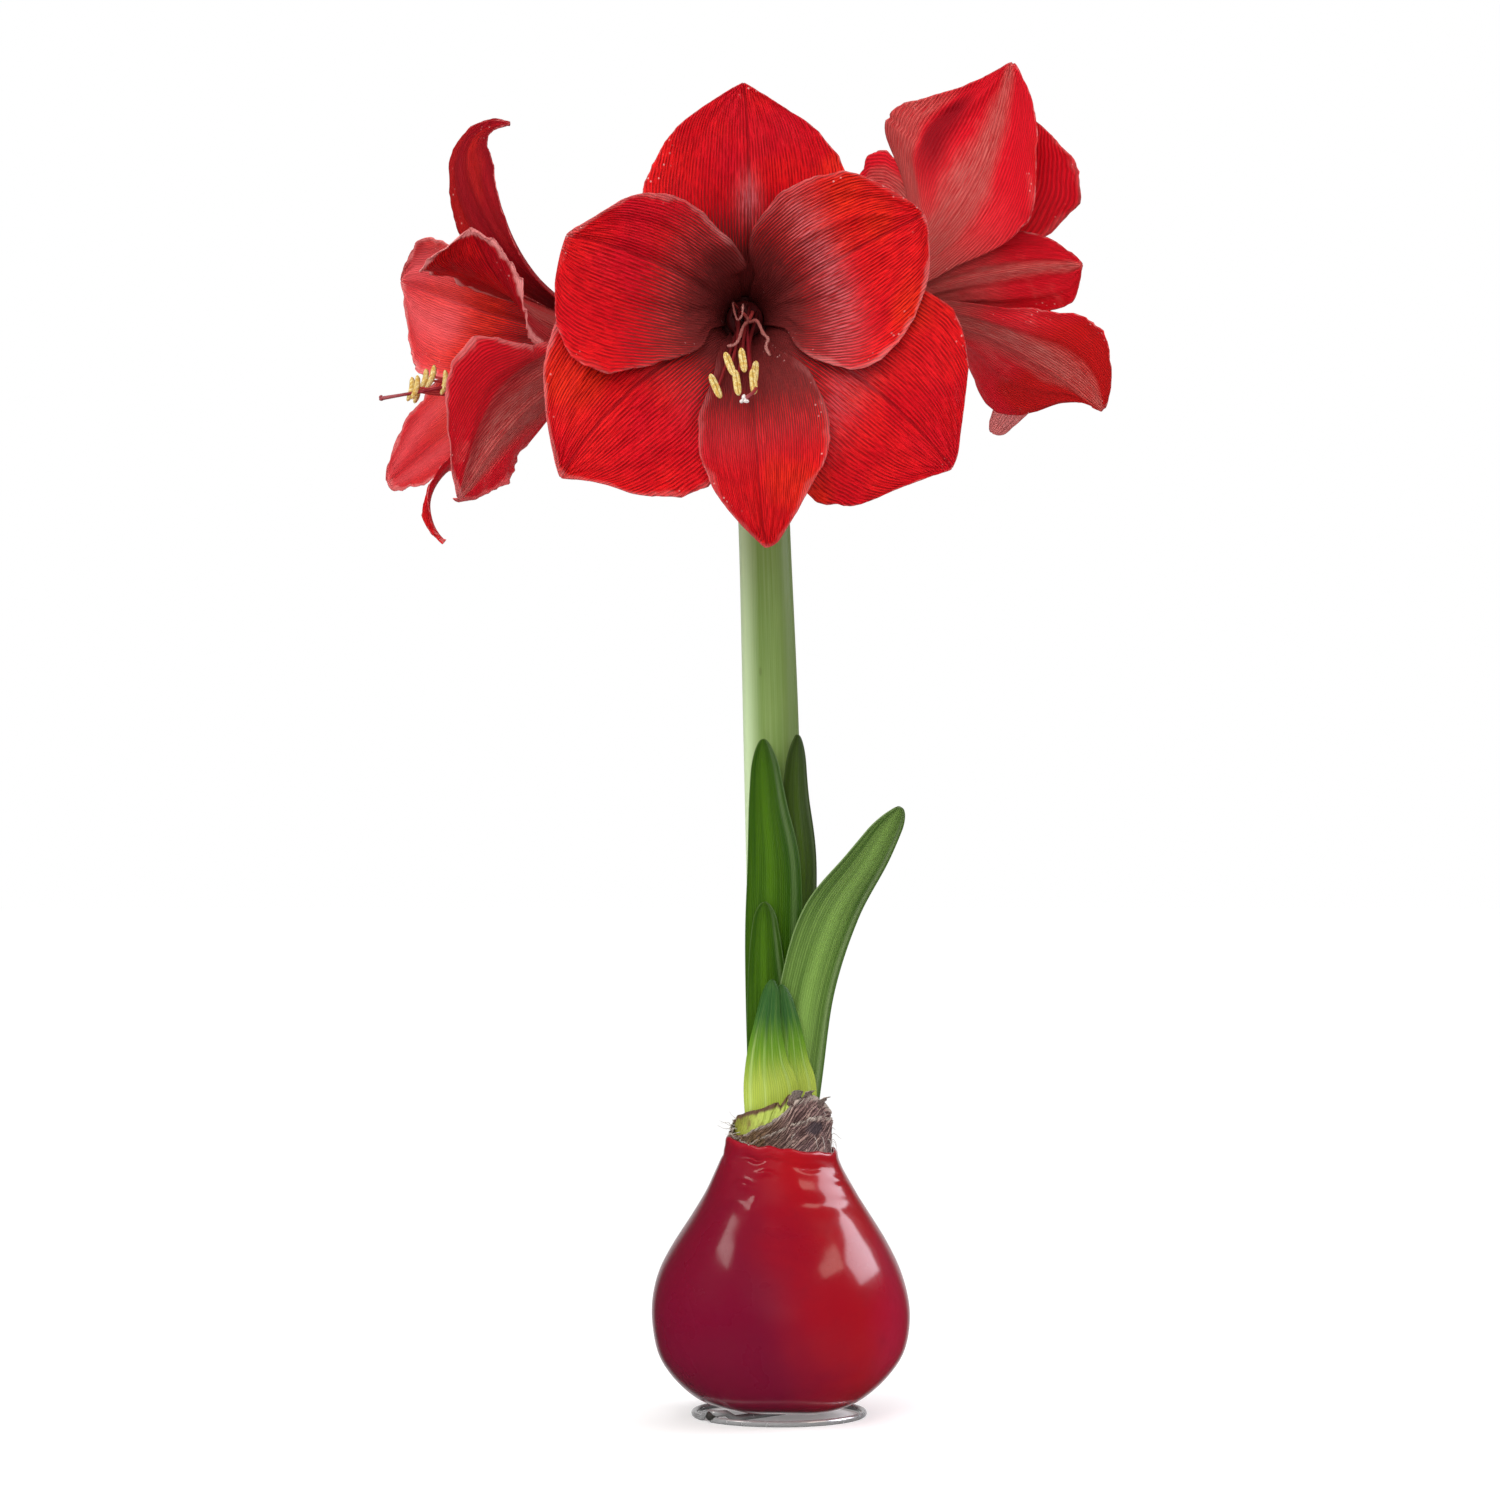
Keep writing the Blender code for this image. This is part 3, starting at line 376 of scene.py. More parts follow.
# ---- finishes: small helpers for their nodes ----
class Finish(Nodes):
    """A material under way."""

    def __init__(self, name, **constants):
        self.material = bpy.data.materials.new(name)
        self.material.use_nodes = True
        super().__init__(self.material.node_tree)
        self.shader = self.tree.nodes["Principled BSDF"]
        for word, value in constants.items():
            self.shader.inputs[word.replace("_", " ")].default_value = value
        self.object_places = self.tree.nodes.new("ShaderNodeTexCoord").outputs["Object"]

    def note(self, word):
        """What sheet noted at the points of the piece under this word."""
        return self.node("Attribute", {}, attribute_name=word).outputs["Fac"]

    def surface(self):
        """Across and along the piece, from 0 to 1."""
        split = self.node("SeparateXYZ", {0: self.surface_map()})
        return split.outputs[0], split.outputs[1]

    def surface_map(self):
        return self.node("UVMap", {}, uv_map="surface").outputs["UV"]

    def place(self):
        split = self.node("SeparateXYZ", {0: self.object_places})
        return split.outputs[0], split.outputs[1], split.outputs[2]

    def sum(self, a, b):
        return self.math("ADD", a, b)

    def times(self, a, b, *more):
        made = self.math("MULTIPLY", a, b)
        return self.times(made, *more) if more else made

    def away(self, a, b):
        """How far a is from b."""
        return self.math("ABSOLUTE", self.math("SUBTRACT", a, b))

    def stretched(self, places, scale):
        return self.node("Mapping", {"Vector": places, "Scale": scale}).outputs[0]

    def clouds(self, scale, detail=4.0, rough=0.55, twist=0.0, places=None):
        inputs = {"Vector": self.object_places if places is None else places, "Scale": scale}
        inputs.update({"Detail": detail, "Roughness": rough, "Distortion": twist})
        return self.node("TexNoise", inputs).outputs["Fac"]

    def streaks(self, across, along, detail=4.0, rough=0.55):
        """Clouds drawn out along the piece: about so many across it, and so many along it."""
        places = self.stretched(self.surface_map(), (across, along, 1))
        return self.clouds(1.0, detail, rough, places=places)

    def cells(self, scale, places=None):
        inputs = {"Vector": self.object_places if places is None else places, "Scale": scale}
        return self.node("TexVoronoi", inputs).outputs["Distance"]

    def lines(self, count, waver, along, detail=2.0, waver_scale=1.0):
        """count lines along the piece, 1 on each line, that waver by waver, less often with a small along."""
        inputs = {"Vector": self.stretched(self.surface_map(), (1, along, 1)), "Distortion": waver}
        inputs.update({"Scale": count * 2 * pi / 20, "Detail": detail, "Detail Scale": waver_scale})
        return self.node("TexWave", inputs, wave_type="BANDS", bands_direction="X").outputs["Fac"]

    def power(self, value, exponent):
        return self.math("POWER", value, exponent)

    def blend(self, factor, a, b):
        made = self.tree.nodes.new("ShaderNodeMix")
        made.data_type = "RGBA"
        for socket, value in ((0, factor), (6, a), (7, b)):
            if isinstance(value, bpy.types.NodeSocket):
                self.tree.links.new(value, made.inputs[socket])
            elif socket == 0:
                made.inputs[0].default_value = value
            else:
                made.inputs[socket].default_value = (*value, 1)
        return made.outputs[2]

    def layers(self, colour, *layers):
        """Lays paints over a colour, each by its share or by what rise needs to give the share."""
        for paint, *share in layers:
            colour = self.blend(self.rise(*share) if len(share) > 1 else share[0], colour, paint)
        return colour

    def bumps(self, *bumps):
        """Bumps on one another, each of a height from 0 to 1, its distance and its strength."""
        normal = None
        for height, distance, strength in bumps:
            inputs = {"Height": height, "Distance": distance, "Strength": strength}
            if normal is not None:
                inputs["Normal"] = normal
            normal = self.node("Bump", inputs).outputs[0]
        return normal

    def give(self, **results):
        """Links results to the shader's sockets of the same names, and ends the material."""
        for word, value in results.items():
            self.tree.links.new(value, self.shader.inputs[word.replace("_", " ")])
        return self.material

    def skin(self, colour, rough, *bumps):
        """Ends a material with its colour, what rise needs to give its roughness, and its bumps."""
        return self.give(Base_Color=colour, Roughness=self.rise(*rough), Normal=self.bumps(*bumps))


# ---- finishes of this plant ----
def steel_finish():
    finish = Finish("drawn_steel", Metallic=0.7)
    grain = finish.streaks(60, 900, 3)
    spots = finish.clouds(260, 4)
    colour = finish.layers(
        (0.6, 0.6, 0.61), ((0.8, 0.8, 0.8), grain), ((0.3, 0.28, 0.26), spots, 0.64, 0.78, 0, 0.6)
    )
    return finish.skin(colour, (spots, 0.35, 0.7, 0.17, 0.28), (grain, 0.00001, 0.25))


def wax_finish():
    """Glossy deep red, with painted light: brighter and warmer at the right, higher up and about the crown,
    darker at the left.
    """
    finish = Finish("dipped_wax", Coat_Weight=0.9, Coat_Roughness=0.13, Specular_IOR_Level=0.14,
                    Sheen_Weight=0.35, Sheen_Roughness=0.1, Sheen_Tint=(1, 0.4, 0.46, 1),
                    Subsurface_Weight=0.08, Subsurface_Radius=(0.004, 0.0006, 0.0008))
    x, _, z = finish.place()
    pools = finish.clouds(22, 5, 0.5, 0.6)
    fine = finish.clouds(90, 4)
    # Painted light: the wax is painted brighter and warmer higher up, at the right, in lit patches and about
    # the crown, where the windows light it; the left stays darker.
    height = finish.rise(z, 0.02, 0.1)
    slantwise = finish.sum(x, finish.times(z, 0.3))
    painted_warm_light = finish.rise(finish.sum(slantwise, finish.times(pools, 0.04)), 0.02, 0.066)
    glow = finish.clouds(30, 3, 0.5)
    painted_light_above = finish.times(painted_warm_light, finish.rise(z, 0.035, 0.075))
    lit = finish.times(finish.rise(glow, 0.44, 0.64, 0, 0.5), painted_light_above)
    by_middle = finish.rise(finish.away(x, 0.006), 0, 0.017, 0.55, 0)
    painted_crown_light = finish.times(finish.rise(z, 0.066, 0.098), by_middle)
    # Painted light: a pinkish strip along the far right edge.
    side = finish.rise(finish.sum(x, finish.times(pools, 0.01)), 0.034, 0.05, 0, 0.8)
    colour = finish.layers(
        (0.135, 0.0012, 0.018),
        ((0.28, 0.001, 0.007), painted_warm_light),
        ((0.38, 0.002, 0.004), lit),
        ((0.46, 0.002, 0.003), painted_crown_light),
        ((0.27, 0.0035, 0.01), finish.times(height, 0.3)),
        ((0.3, 0.004, 0.028), side),
        ((0.12, 0.003, 0.014), fine, 0.5, 0.9, 0, 0.35),
        ((0.38, 0.006, 0.016), finish.note("lip"), 0.2, 1, 0, 0.5),
    )
    return finish.skin(
        colour, (finish.sum(pools, finish.times(fine, 0.3)), 0.4, 0.95, 0.24, 0.38),
        (finish.clouds(55, 3), 0.0008, 0.6), (fine, 0.00025, 0.45),
    )


def tunic_finish():
    """Mauve-brown papery scales with pale fibres that run slantwise up them."""
    finish = Finish("papery_tunic", Specular_IOR_Level=0.2)
    streaks = finish.streaks(54, 3.5, 5, 0.68)
    ribs = finish.lines(30, 6.0, 0.3, 4)
    blotch = finish.clouds(190, 5)
    x, _, _ = finish.place()
    tan = finish.times(finish.rise(x, 0.006, -0.008), finish.rise(blotch, 0.4, 0.6, 0.4, 0.9))
    pale = finish.times(finish.rise(finish.note("torn"), 0.35, 1), finish.rise(streaks, 0.32, 0.56))
    colour = finish.layers(
        (0.1, 0.05, 0.05),
        ((0.4, 0.25, 0.22), streaks, 0.34, 0.62),
        ((0.26, 0.15, 0.16), blotch, 0.48, 0.66, 0, 0.6),
        ((0.62, 0.47, 0.39), streaks, 0.52, 0.68, 0, 0.9),
        ((0.2, 0.12, 0.05), tan),
        ((0.026, 0.014, 0.014), finish.times(finish.power(ribs, 4), 0.8)),
        ((0.5, 0.42, 0.36), pale),
        ((0.055, 0.04, 0.05), finish.times(finish.note("scar"), 0.85)),
    )
    return finish.skin(colour, (blotch, 0.3, 0.7, 0.55, 0.85), (ribs, 0.0006, 0.9), (streaks, 0.0008, 1.0))


def sheath_finish():
    """The fleshy scale: olive-green, browned in patches and along its torn edge."""
    finish = Finish("fleshy_scale", Specular_IOR_Level=0.35)
    across, _ = finish.surface()
    streaks = finish.streaks(40, 2.6, 4, 0.6)
    ribs = finish.lines(30, 3.5, 0.3)
    blotch = finish.clouds(170, 4)
    brown = finish.rise(finish.sum(finish.note("torn"), finish.times(blotch, 0.9)), 0.8, 1.3)
    colour = finish.layers(
        (0.16, 0.15, 0.02),
        ((0.34, 0.36, 0.045), streaks, 0.3, 0.7),
        ((0.5, 0.62, 0.12), across, 0.2, 0.55, 0, 0.85),
        ((0.2, 0.12, 0.045), blotch, 0.5, 0.64, 0, 0.75),
        ((0.13, 0.07, 0.04), brown),
    )
    return finish.skin(colour, (blotch, 0.3, 0.7, 0.38, 0.6), (ribs, 0.0003, 0.8), (streaks, 0.0005, 0.7))


def scape_finish():
    """Pale green with faint fibres and lenticels, painted lightest left of the middle and darker at the
    right, as painted light and shade.
    """
    finish = Finish("scape_skin", Specular_IOR_Level=0.45, Sheen_Weight=0.1, Sheen_Roughness=0.4,
                    Sheen_Tint=(0.86, 0.95, 0.82, 1))
    x, _, z = finish.place()
    fibres = finish.streaks(110, 3.5, 4, 0.6)
    bloom = finish.clouds(1.0, 4, places=finish.stretched(finish.object_places, (60, 60, 9)))
    marks = finish.cells(1.0, finish.stretched(finish.object_places, (150, 150, 50)))
    # Painted light and shade: a pale lit band left of the middle, and darker green at the right.
    painted_light_offset = finish.sum(finish.sum(x, finish.times(z, 0.0277)), -0.003)
    colour = finish.layers(
        (0.12, 0.215, 0.032),
        ((0.16, 0.27, 0.05), z, 0.2, 0.37),
        ((0.26, 0.36, 0.13), fibres, 0.35, 0.7, 0, 0.55),
        ((0.28, 0.4, 0.12), bloom, 0.42, 0.7, 0, 0.4),
        ((0.64, 0.8, 0.48), painted_light_offset, -0.0105, -0.0015, 0.97, 0),
        ((0.1, 0.16, 0.02), painted_light_offset, 0.003, 0.0095, 0, 0.8),
        ((0.1, 0.14, 0.035), marks, 0.05, 0.12, 0.5, 0),
    )
    return finish.skin(colour, (bloom, 0.35, 0.7, 0.36, 0.55), (fibres, 0.00022, 0.6))


def leaf_finish(name, deep, fresh, edge, foot, shine, keel_and_sheen_width):
    """A strap leaf's skin: parallel veins, a lighter middle that is partly painted sheen, a paler foot, a
    thin pale margin, a painted highlight along one margin and painted shade towards both margins.
    """
    finish = Finish(name, Specular_IOR_Level=0.36, Coat_Weight=0.06, Coat_Roughness=0.3)
    across, along = finish.surface()
    fibres = finish.streaks(75, 2.5, 4, 0.6)
    bands = finish.streaks(9, 1.1, 2)
    veins = finish.lines(30, 0.9, 0.12)
    stomata = finish.clouds(1.0, 2, places=finish.stretched(finish.object_places, (900, 900, 350)))
    # The lighter middle: partly the paler midrib, partly a painted sheen band.
    keel = finish.rise(finish.away(across, 0.56), 0.0, keel_and_sheen_width, 0.75, 0)
    # Painted highlight: a broken pale gleam along one margin.
    by_margin = finish.rise(finish.away(across, 0.16), 0, 0.09, 0.6, 0)
    painted_margin_gleam = finish.times(by_margin, finish.rise(fibres, 0.3, 0.55))
    colour = finish.layers(
        deep,
        (fresh, bands, 0.35, 0.65),
        (fresh, fibres, 0.4, 0.75, 0, 0.5),
        (tuple(0.55 * c for c in deep), veins, 0.55, 1, 0, 0.45),
        (fresh, stomata, 0.6, 0.8, 0, 0.25),
        (foot, along, 0.0, 0.32, 0.9, 0),
        (tuple(1.25 * c for c in fresh), keel),
        # Painted shade: darker towards both margins.
        (tuple(0.7 * c for c in deep), finish.away(across, 0.5), 0.34, 0.5, 0, 0.6),
        (edge, finish.note("rim"), 0.15, 0.8, 0.4, 0),
        (tuple(0.6 * c + 0.03 for c in edge), painted_margin_gleam),
    )
    return finish.skin(
        colour, (finish.sum(stomata, finish.times(fibres, 0.5)), 0.4, 1.1, shine, shine + 0.16),
        (veins, 0.00018, 0.8), (fibres, 0.0002, 0.7), (stomata, 0.00004, 0.4),
    )


def young_finish():
    """The newest leaves: pale yellow-green at the foot, teal-green at the tip, with painted highlights in
    pale streaks and painted shade down the middle and along the upper margins.
    """
    finish = Finish("young_leaf_skin", Specular_IOR_Level=0.5, Coat_Weight=0.2, Coat_Roughness=0.25)
    across, along = finish.surface()
    fibres = finish.streaks(60, 2.0, 4, 0.6)
    bands = finish.streaks(10, 0.7, 2)
    veins = finish.lines(26, 0.8, 0.12)
    height = finish.sum(along, finish.times(bands, 0.4))
    # Painted highlights: pale glossy streaks on the lower part.
    painted_gloss_streak = finish.times(finish.rise(bands, 0.5, 0.66), finish.rise(along, 0.72, 0.4))
    # Painted shade: a dark line down the middle where the leaf's two halves fold, and along the upper
    # margins.
    keel = finish.rise(finish.away(across, 0.5), 0.0, 0.06, 0.7, 0)
    shade = finish.times(finish.rise(finish.note("rim"), 0.2, 2.2, 0.75, 0), finish.rise(along, 0.5, 0.75))
    colour = finish.layers(
        (0.4, 0.5, 0.065),
        ((0.11, 0.25, 0.01), height, 0.4, 0.7),
        ((0.022, 0.1, 0.022), height, 0.66, 0.94),
        ((0.06, 0.15, 0.03), height, 1.06, 1.2),
        ((0.36, 0.5, 0.1), fibres, 0.5, 0.78, 0, 0.4),
        ((0.09, 0.2, 0.015), veins, 0.6, 1, 0, 0.3),
        ((0.54, 0.68, 0.22), finish.times(painted_gloss_streak, 0.5)),
        ((0.02, 0.08, 0.015), finish.times(keel, finish.rise(along, 0.45, 0.68))),
        ((0.03, 0.1, 0.015), shade),
    )
    return finish.skin(colour, (fibres, 0.3, 0.8, 0.24, 0.4), (veins, 0.0001, 0.6), (fibres, 0.00014, 0.6))


def petal_finish():
    """Velvety red inside with a dark throat, and dusty rose along the midrib and foot outside; with a painted
    sheen past the throat, painted shade at folds and blotches of painted light and shade.
    """
    finish = Finish("petal_velvet", Specular_IOR_Level=0.09)
    across, along = finish.surface()
    reach, rim, back = finish.note("reach"), finish.note("rim"), finish.note("back")
    veins = finish.lines(66, 2.6, 0.12, 3, 0.7)
    fine_veins = finish.lines(160, 3.0, 0.2, 2, 0.5)
    vein = finish.power(veins, 2.0)
    hairs = finish.streaks(340, 16, 3, 0.65)
    broken = finish.streaks(50, 15, 3, 0.6)
    mottle = finish.clouds(46, 4, 0.55, 0.4)
    glow = finish.clouds(22, 2, 0.5)
    cells = finish.clouds(900, 3, 0.7)
    midline = finish.rise(finish.away(across, 0.5), 0.0, 0.012, 0.75, 0)
    # Painted sheen: a silvery-pink highlight past the throat, broken by the hairs.
    silver = finish.times(finish.note("silver"), finish.rise(hairs, 0.38, 0.58, 0.1, 1))
    blush = finish.note("blush")
    pink = finish.times(finish.rise(blush, 0, 1), finish.rise(hairs, 0.3, 0.55, 0.55, 1))
    # glow and mottle vary the red in broad blotches: partly the tepal's uneven tone, partly painted light and
    # shade of its undulations.
    red = finish.layers(
        (0.74, 0.003, 0.012),
        ((0.9, 0.01, 0.012), mottle, 0.36, 0.64),
        ((0.94, 0.032, 0.006), glow, 0.52, 0.66, 0, 0.85),
        ((0.7, 0.004, 0.026), glow, 0.32, 0.46, 0.6, 0),
        ((0.38, 0.001, 0.004), hairs, 0.34, 0.6, 0.72, 0),
        ((0.2, 0.001, 0.003), finish.times(vein, finish.rise(broken, 0.36, 0.56), 0.9)),
        ((0.3, 0.002, 0.004), finish.times(finish.power(fine_veins, 2.0), 0.3)),
        ((0.9, 0.06, 0.06), cells, 0.58, 0.78, 0, 0.22),
        ((0.24, 0.002, 0.006), midline),
        ((0.62, 0.145, 0.165), silver),
        ((0.82, 0.11, 0.12), pink),
    )
    ray = finish.sum(hairs, finish.times(veins, -0.7))
    streaked = finish.sum(reach, finish.times(ray, 30))
    throat = finish.rise(streaked, 39, 58, 1, 0)
    throat_red = finish.layers(
        (0.17, 0.026, 0.026),
        ((0.3, 0.034, 0.034), hairs, 0.38, 0.66),
        ((0.4, 0.006, 0.007), streaked, 37, 54, 0, 0.6),
        ((0.1, 0.01, 0.01), finish.power(fine_veins, 2.0), 0.2, 1, 0, 0.5),
    )
    inside = finish.blend(throat, red, throat_red)
    from_midrib = finish.away(across, 0.5)
    spread = finish.sum(finish.times(mottle, 0.12), finish.times(along, 0.12))
    band = finish.rise(finish.sum(from_midrib, spread), 0.17, 0.29, 1, 0)
    foot = finish.rise(finish.sum(reach, finish.times(hairs, 40)), 42, 82, 1, 0)
    rose_share = finish.math("ADD", finish.math("MAXIMUM", band, foot), blush, use_clamp=True)
    rose = finish.layers(
        (0.34, 0.035, 0.036),
        ((0.72, 0.2, 0.17), hairs, 0.36, 0.62),
        ((0.25, 0.058, 0.048), reach, 16, 90, 0.85, 0),
    )
    outer_red = finish.layers(
        (0.82, 0.008, 0.022),
        ((0.52, 0.005, 0.012), hairs, 0.35, 0.65, 0.6, 0),
        ((0.6, 0.008, 0.006), glow, 0.54, 0.68, 0, 0.85),
        ((0.84, 0.09, 0.09), mottle, 0.58, 0.7, 0, 0.4),
    )
    outside = finish.layers(
        outer_red,
        (rose, finish.times(rose_share, finish.rise(hairs, 0.3, 0.6, 0.45, 0.95))),
        ((0.2, 0.006, 0.01), finish.times(vein, 0.5)),
        ((0.72, 0.2, 0.19), finish.times(silver, 0.8)),
    )
    flecks = finish.cells(420)
    speck = finish.times(finish.rise(flecks, 0.1, 0.2, 1, 0), finish.rise(mottle, 0.52, 0.62))
    speck = finish.times(speck, finish.rise(rim, 9, 1, 0, 0.8))
    edge = finish.times(finish.rise(rim, 0.2, 0.8, 0.85, 0), finish.rise(broken, 0.44, 0.6, 0.1, 1))
    edge = finish.times(edge, finish.rise(reach, 38, 56))
    colour = finish.layers(
        inside,
        (outside, back),
        # Painted shade, noted along folds and over the left bloom's upper tepals.
        ((0.24, 0.003, 0.009), finish.note("dusk")),
        ((0.86, 0.3, 0.29), finish.note("margin")),
        ((0.85, 0.45, 0.42), speck),
        ((0.66, 0.14, 0.14), edge),
    )
    return finish.skin(
        colour, (finish.sum(cells, hairs), 0.6, 1.4, 0.4, 0.62),
        (veins, 0.00035, 0.7), (hairs, 0.0003, 0.6), (cells, 0.0001, 0.5),
    )


def pedicel_finish():
    """Green stalk and ovary that turn dusty rose where the tube opens into the bloom."""
    finish = Finish("pedicel_skin", Specular_IOR_Level=0.35, Sheen_Weight=0.2, Sheen_Roughness=0.4)
    fibres = finish.streaks(70, 5, 4, 0.6)
    blotch = finish.clouds(130, 4)
    behind = finish.note("behind")
    mauve = finish.blend(finish.rise(fibres, 0.3, 0.7), (0.14, 0.045, 0.034), (0.36, 0.13, 0.1))
    turned = finish.rise(finish.sum(behind, finish.times(blotch, 12)), 16, 34, 1, 0)
    colour = finish.layers(
        (0.13, 0.2, 0.04),
        ((0.27, 0.36, 0.12), fibres, 0.3, 0.7),
        (mauve, turned),
        ((0.16, 0.06, 0.035), blotch, 0.6, 0.75, 0, 0.5),
        ((0.05, 0.006, 0.006), behind, -5, -1, 1, 0),
    )
    return finish.skin(colour, (blotch, 0.3, 0.7, 0.38, 0.6), (fibres, 0.0003, 0.7))


def spathe_finish():
    """Dry brown paper with darker ribs, still a little green at the foot."""
    finish = Finish("withered_bract", Specular_IOR_Level=0.2)
    _, along = finish.surface()
    streaks = finish.streaks(40, 2.5, 5, 0.65)
    ribs = finish.lines(22, 2.5, 0.2)
    colour = finish.layers(
        (0.2, 0.11, 0.06),
        ((0.58, 0.44, 0.29), streaks),
        ((0.14, 0.07, 0.04), finish.power(ribs, 4)),
        ((0.24, 0.28, 0.09), along, 0.0, 0.3, 0.6, 0),
        ((0.13, 0.07, 0.045), along, 0.8, 1.0, 0, 0.7),
    )
    return finish.skin(colour, (streaks, 0.3, 0.7, 0.6, 0.9), (ribs, 0.0004, 0.8), (streaks, 0.0006, 0.8))


def filament_finish():
    """Dark at the foot, red at the end. The withered threads count on, from 1.1 along."""
    finish = Finish("filament_skin", Specular_IOR_Level=0.4)
    along = finish.note("along")
    fibres = finish.streaks(14, 30, 3)
    pale = finish.times(finish.rise(fibres, 0.42, 0.7), finish.rise(along, 1.2, 2.2, 0, 0.8))
    colour = finish.layers(
        (0.075, 0.007, 0.008),
        ((0.24, 0.02, 0.022), along, 0.2, 0.6),
        ((0.5, 0.04, 0.04), along, 0.6, 1.0),
        ((0.26, 0.075, 0.065), along, 1.05, 1.2, 0, 0.95),
        ((0.62, 0.34, 0.3), pale),
    )
    return finish.skin(colour, (fibres, 0.3, 0.7, 0.32, 0.5), (fibres, 0.0001, 0.5))


def pollen_finish():
    """Pale yellow grains, browner in the seam between the sacs."""
    finish = Finish("anther_pollen", Specular_IOR_Level=0.2)
    grains = finish.cells(3600)
    clumps = finish.clouds(900, 4)
    colour = finish.layers(
        (0.74, 0.47, 0.09),
        ((0.95, 0.84, 0.42), clumps, 0.35, 0.65),
        ((0.5, 0.28, 0.05), grains, 0.3, 0.75, 0, 0.5),
        ((0.3, 0.13, 0.02), finish.note("seam"), 0.3, 1, 0, 0.8),
    )
    return finish.skin(colour, (clumps, 0.3, 0.7, 0.7, 0.95), (grains, 0.00025, 1.0), (clumps, 0.0003, 0.8))


def style_finish():
    finish = Finish("style_skin", Specular_IOR_Level=0.45)
    fibres = finish.streaks(10, 40, 3)
    colour = finish.layers(
        (0.2, 0.006, 0.014),
        ((0.36, 0.03, 0.04), fibres, 0.35, 0.7),
        ((0.34, 0.08, 0.09), finish.note("along"), 0.82, 0.97),
    )
    return finish.skin(colour, (fibres, 0.3, 0.7, 0.3, 0.5), (fibres, 0.0001, 0.5))


def stigma_finish():
    finish = Finish("stigma_down", Specular_IOR_Level=0.3, Sheen_Weight=0.4)
    down = finish.cells(4200)
    clumps = finish.clouds(1100, 3)
    colour = finish.layers(
        (0.78, 0.7, 0.66), ((0.95, 0.92, 0.9), clumps), ((0.6, 0.42, 0.4), down, 0.3, 0.8, 0, 0.4)
    )
    return finish.skin(colour, (clumps, 0.3, 0.7, 0.5, 0.8), (down, 0.0002, 0.9))


def fibre_finish():
    finish = Finish("dry_fibre", Specular_IOR_Level=0.2)
    clumps = finish.clouds(700, 3)
    colour = finish.blend(clumps, (0.3, 0.26, 0.23), (0.66, 0.62, 0.58))
    return finish.skin(colour, (clumps, 0.3, 0.7, 0.6, 0.9), (clumps, 0.0001, 0.6))


# ---- wire stand ----
WIRE = 2.4 * MM  # its thickness
RING_RADIUS = 31.7 * MM
TURN_IN = 218.0  # where round the ring the wire turns in, in degrees
BEND = 3.0 * MM  # the radius of the turn inwards
CURL = 2.0 * MM  # the radius of the turn upwards
SPIKE_PAST_CENTRE = 5.0 * MM
SPIKE_TOP = 26 * MM
WELD_HEIGHT, WELD_HALVES = 2.35 * MM, (2.5 * MM, 2.1 * MM, 1.9 * MM)


def stand_path():
    """The middle line of the stand's one wire: round the ring, over its own start, in, and up."""
    rest = WIRE / 2 * cos(pi / 8)
    raised = rest + WIRE
    end = radians(TURN_IN) + 2 * pi
    turns = np.linspace(radians(TURN_IN), end, 161)
    lift = smooth_step((turns - end + radians(14)) / radians(10))
    ring = np.c_[RING_RADIUS * np.cos(turns), RING_RADIUS * np.sin(turns), rest + lift * (raised - rest)]
    lean = asin(BEND / (RING_RADIUS - BEND))
    swing = np.linspace(0, pi / 2 + lean, 12)[1:]
    hub = (RING_RADIUS - BEND) * np.array([cos(end), sin(end)])
    turn = np.c_[hub[0] + BEND * np.cos(end + swing), hub[1] + BEND * np.sin(end + swing), raised + 0 * swing]
    inward = -np.array([cos(end + lean), sin(end + lean)])
    reach = np.array([-27.5, -26.5, -25.5, -24.5, -23.5, -22.5, -20, -12, -5, 0.5, 2]) * MM
    drop = smooth_step((reach + 28.5 * MM) / (6 * MM))
    spoke = np.c_[np.outer(reach, inward), raised - drop * (raised - rest)]
    curl = np.linspace(0, pi / 2, 8)
    bend_from = SPIKE_PAST_CENTRE - CURL
    curl_reach, curl_height = bend_from + CURL * np.sin(curl), rest + CURL * (1 - np.cos(curl))
    bend = np.c_[np.outer(curl_reach, inward), curl_height]
    tip = [(*(SPIKE_PAST_CENTRE * inward), height) for height in (SPIKE_TOP - 6 * MM, SPIKE_TOP)]
    return np.vstack([ring, turn, spoke, bend, tip])


